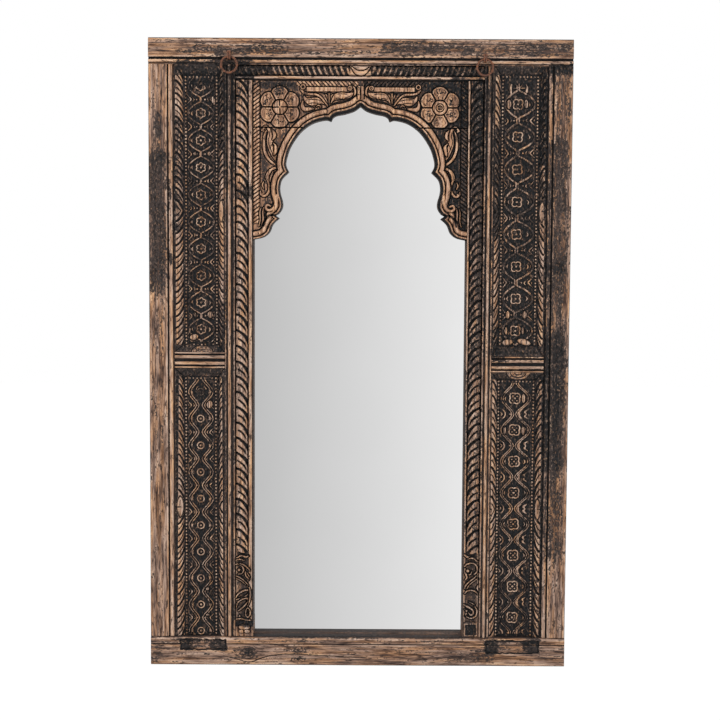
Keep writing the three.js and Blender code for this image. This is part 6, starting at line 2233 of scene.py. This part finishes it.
def staple(side):
    """Two hammered strands side by side, bent to one eye round the ring."""
    name = "ring_staple_" + side
    edges = Edges(name)
    thick = STRAND_THICK * HALF
    crown, foot, head = edges.front - thick, edges.foot + thick, edges.head - thick
    path = [(edges.back, foot)]
    for up, start in ((foot + STRAND_BEND, -QUARTER_TURN), (head - STRAND_BEND, 0.0)):
        for step in range(BEND_STEPS + 1):
            angle = start + step / BEND_STEPS * QUARTER_TURN
            out = crown - STRAND_BEND + STRAND_BEND * math.cos(angle)
            path.append((out, up + STRAND_BEND * math.sin(angle)))
    path.append((edges.back, head))
    path = np.array(path)
    heading = np.gradient(path, axis=0)
    heading /= np.linalg.norm(heading, axis=1)[:, None]
    taper = np.interp((path[:, 1] - foot) / (head - foot), *zip(*STRAND_TAPER))
    angles = np.arange(STRAND_FACETS) * math.tau / STRAND_FACETS
    wide, deep = squared(np.cos(angles)), squared(np.sin(angles))
    half = edges.width * HALF * HALF
    middle = (edges.left + edges.right) * HALF
    form = bmesh.new()
    for hand in SIDES.values():
        rows = []
        for (out, up), (toward, rise), width_share in zip(path, heading, taper):
            across = middle + width_share * (hand * half + (half - STRAND_PARTING) * wide)
            outs, ups = out - rise * thick * deep, up + toward * thick * deep
            rows.append([form.verts.new(place) for place in to_metres(across, outs, ups)])
        for near, far in zip(rows, rows[1:]):
            for place in range(STRAND_FACETS):
                after = (place + 1) % STRAND_FACETS
                form.faces.new((near[place], near[after], far[after], far[place])).smooth = True
        form.faces.new(rows[0])
        form.faces.new(rows[-1])
    bmesh.ops.recalc_face_normals(form, faces=form.faces)
    mesh = bpy.data.meshes.new(name + "_strands")
    form.to_mesh(mesh)
    form.free()
    piece(name + "_strands", mesh, "rusty_iron", (name,))


# What the nodes that stay in view are made of, by the start of their names
NODE_FINISHES = {
    "mirror_glass": "glass",
    "backing_board": "plywood",
    "glass_stop_left": "pine_upright",
    "glass_stop_right": "pine_upright",
    "glass_stop": "pine",
    "back_batten": "pine",
    "hanger": "zinc",
    "batten_screw": "zinc",
}


# Properties and operators


class MirrorSizes(bpy.types.PropertyGroup):
    bead_diameter: bpy.props.FloatProperty(
        name="Bead diameter",
        description="Size of the small beads beside the panels' fields",
        default=3.8 * MM,
        unit="LENGTH",
    )
    bead_pitch: bpy.props.FloatProperty(
        name="Bead pitch",
        description="Distance from one bead to the next",
        default=7.3 * MM,
        unit="LENGTH",
    )


class MIRROR_OT_stage(bpy.types.Operator):
    """Sets up the camera, the lamps, the floor and the white room"""

    bl_idname = "mirror.stage"
    bl_label = "Set the stage"

    def execute(self, context):
        stage_camera()
        stage_world()
        stage_floor()
        for name, lamp in LAMPS.items():
            stage_lamp(name, *lamp)
        return {"FINISHED"}


class MIRROR_OT_timbers(bpy.types.Operator):
    """Shapes the plain rails, stiles, rib strips, mid rails and plinth blocks"""

    bl_idname = "mirror.timbers"
    bl_label = "Shape the plain timbers"

    def execute(self, context):
        top_rail()
        bottom_rail()
        for side in SIDES:
            stile(side)
            rib_strip(side)
            mid_rail(side)
            plinth(side)
        return {"FINISHED"}


class MIRROR_OT_panels(bpy.types.Operator):
    """Carves the four side panels with their beads and rosettes"""

    bl_idname = "mirror.panels"
    bl_label = "Carve the panels"

    def execute(self, context):
        sizes = context.scene.mirror_sizes
        for side in SIDES:
            panel("upper", side, sizes)
            panel("lower", side, sizes)
        return {"FINISHED"}


class MIRROR_OT_ropes(bpy.types.Operator):
    """Carves the twisted jambs and the rope lintel"""

    bl_idname = "mirror.ropes"
    bl_label = "Carve the jambs and the lintel"

    def execute(self, context):
        for side in SIDES:
            jamb(side)
        lintel()
        return {"FINISHED"}


class MIRROR_OT_arch(bpy.types.Operator):
    """Carves the arch head and its two brackets"""

    bl_idname = "mirror.arch"
    bl_label = "Carve the arch"

    def execute(self, context):
        arch()
        return {"FINISHED"}


class MIRROR_OT_iron(bpy.types.Operator):
    """Forges the two rings and their staples"""

    bl_idname = "mirror.iron"
    bl_label = "Forge the iron rings"

    def execute(self, context):
        for side in SIDES:
            iron_ring(side)
            staple(side)
        return {"FINISHED"}


class MIRROR_OT_back(bpy.types.Operator):
    """Finishes the glass, the backing board, the battens and the fixings"""

    bl_idname = "mirror.back"
    bl_label = "Finish the glass and the back"

    def execute(self, context):
        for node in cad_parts:
            for start, name in NODE_FINISHES.items():
                if node.startswith(start):
                    cover_node(node, name)
                    break
        return {"FINISHED"}


STEPS = (
    MIRROR_OT_stage,
    MIRROR_OT_timbers,
    MIRROR_OT_panels,
    MIRROR_OT_ropes,
    MIRROR_OT_arch,
    MIRROR_OT_iron,
    MIRROR_OT_back,
)


class MIRROR_PT_panel(bpy.types.Panel):
    """Lists the steps that dress the mirror"""

    bl_label = "Carved mirror"
    bl_idname = "MIRROR_PT_panel"
    bl_space_type = "VIEW_3D"
    bl_region_type = "UI"
    bl_category = "Mirror"

    def draw(self, context):
        sizes = context.scene.mirror_sizes
        self.layout.prop(sizes, "bead_diameter")
        self.layout.prop(sizes, "bead_pitch")
        for step in STEPS:
            self.layout.operator(step.bl_idname)


def register():
    bpy.utils.register_class(MirrorSizes)
    for step in STEPS:
        bpy.utils.register_class(step)
    bpy.utils.register_class(MIRROR_PT_panel)
    bpy.types.Scene.mirror_sizes = bpy.props.PointerProperty(type=MirrorSizes)


def unregister():
    del bpy.types.Scene.mirror_sizes
    bpy.utils.unregister_class(MIRROR_PT_panel)
    for step in reversed(STEPS):
        bpy.utils.unregister_class(step)
    bpy.utils.unregister_class(MirrorSizes)


def main():
    register()
    bpy.context.scene.view_settings.view_transform = "Standard"
    bpy.ops.mirror.stage()
    bpy.ops.mirror.timbers()
    bpy.ops.mirror.panels()
    bpy.ops.mirror.ropes()
    bpy.ops.mirror.arch()
    bpy.ops.mirror.iron()
    bpy.ops.mirror.back()


if __name__ == "__main__":
    main()
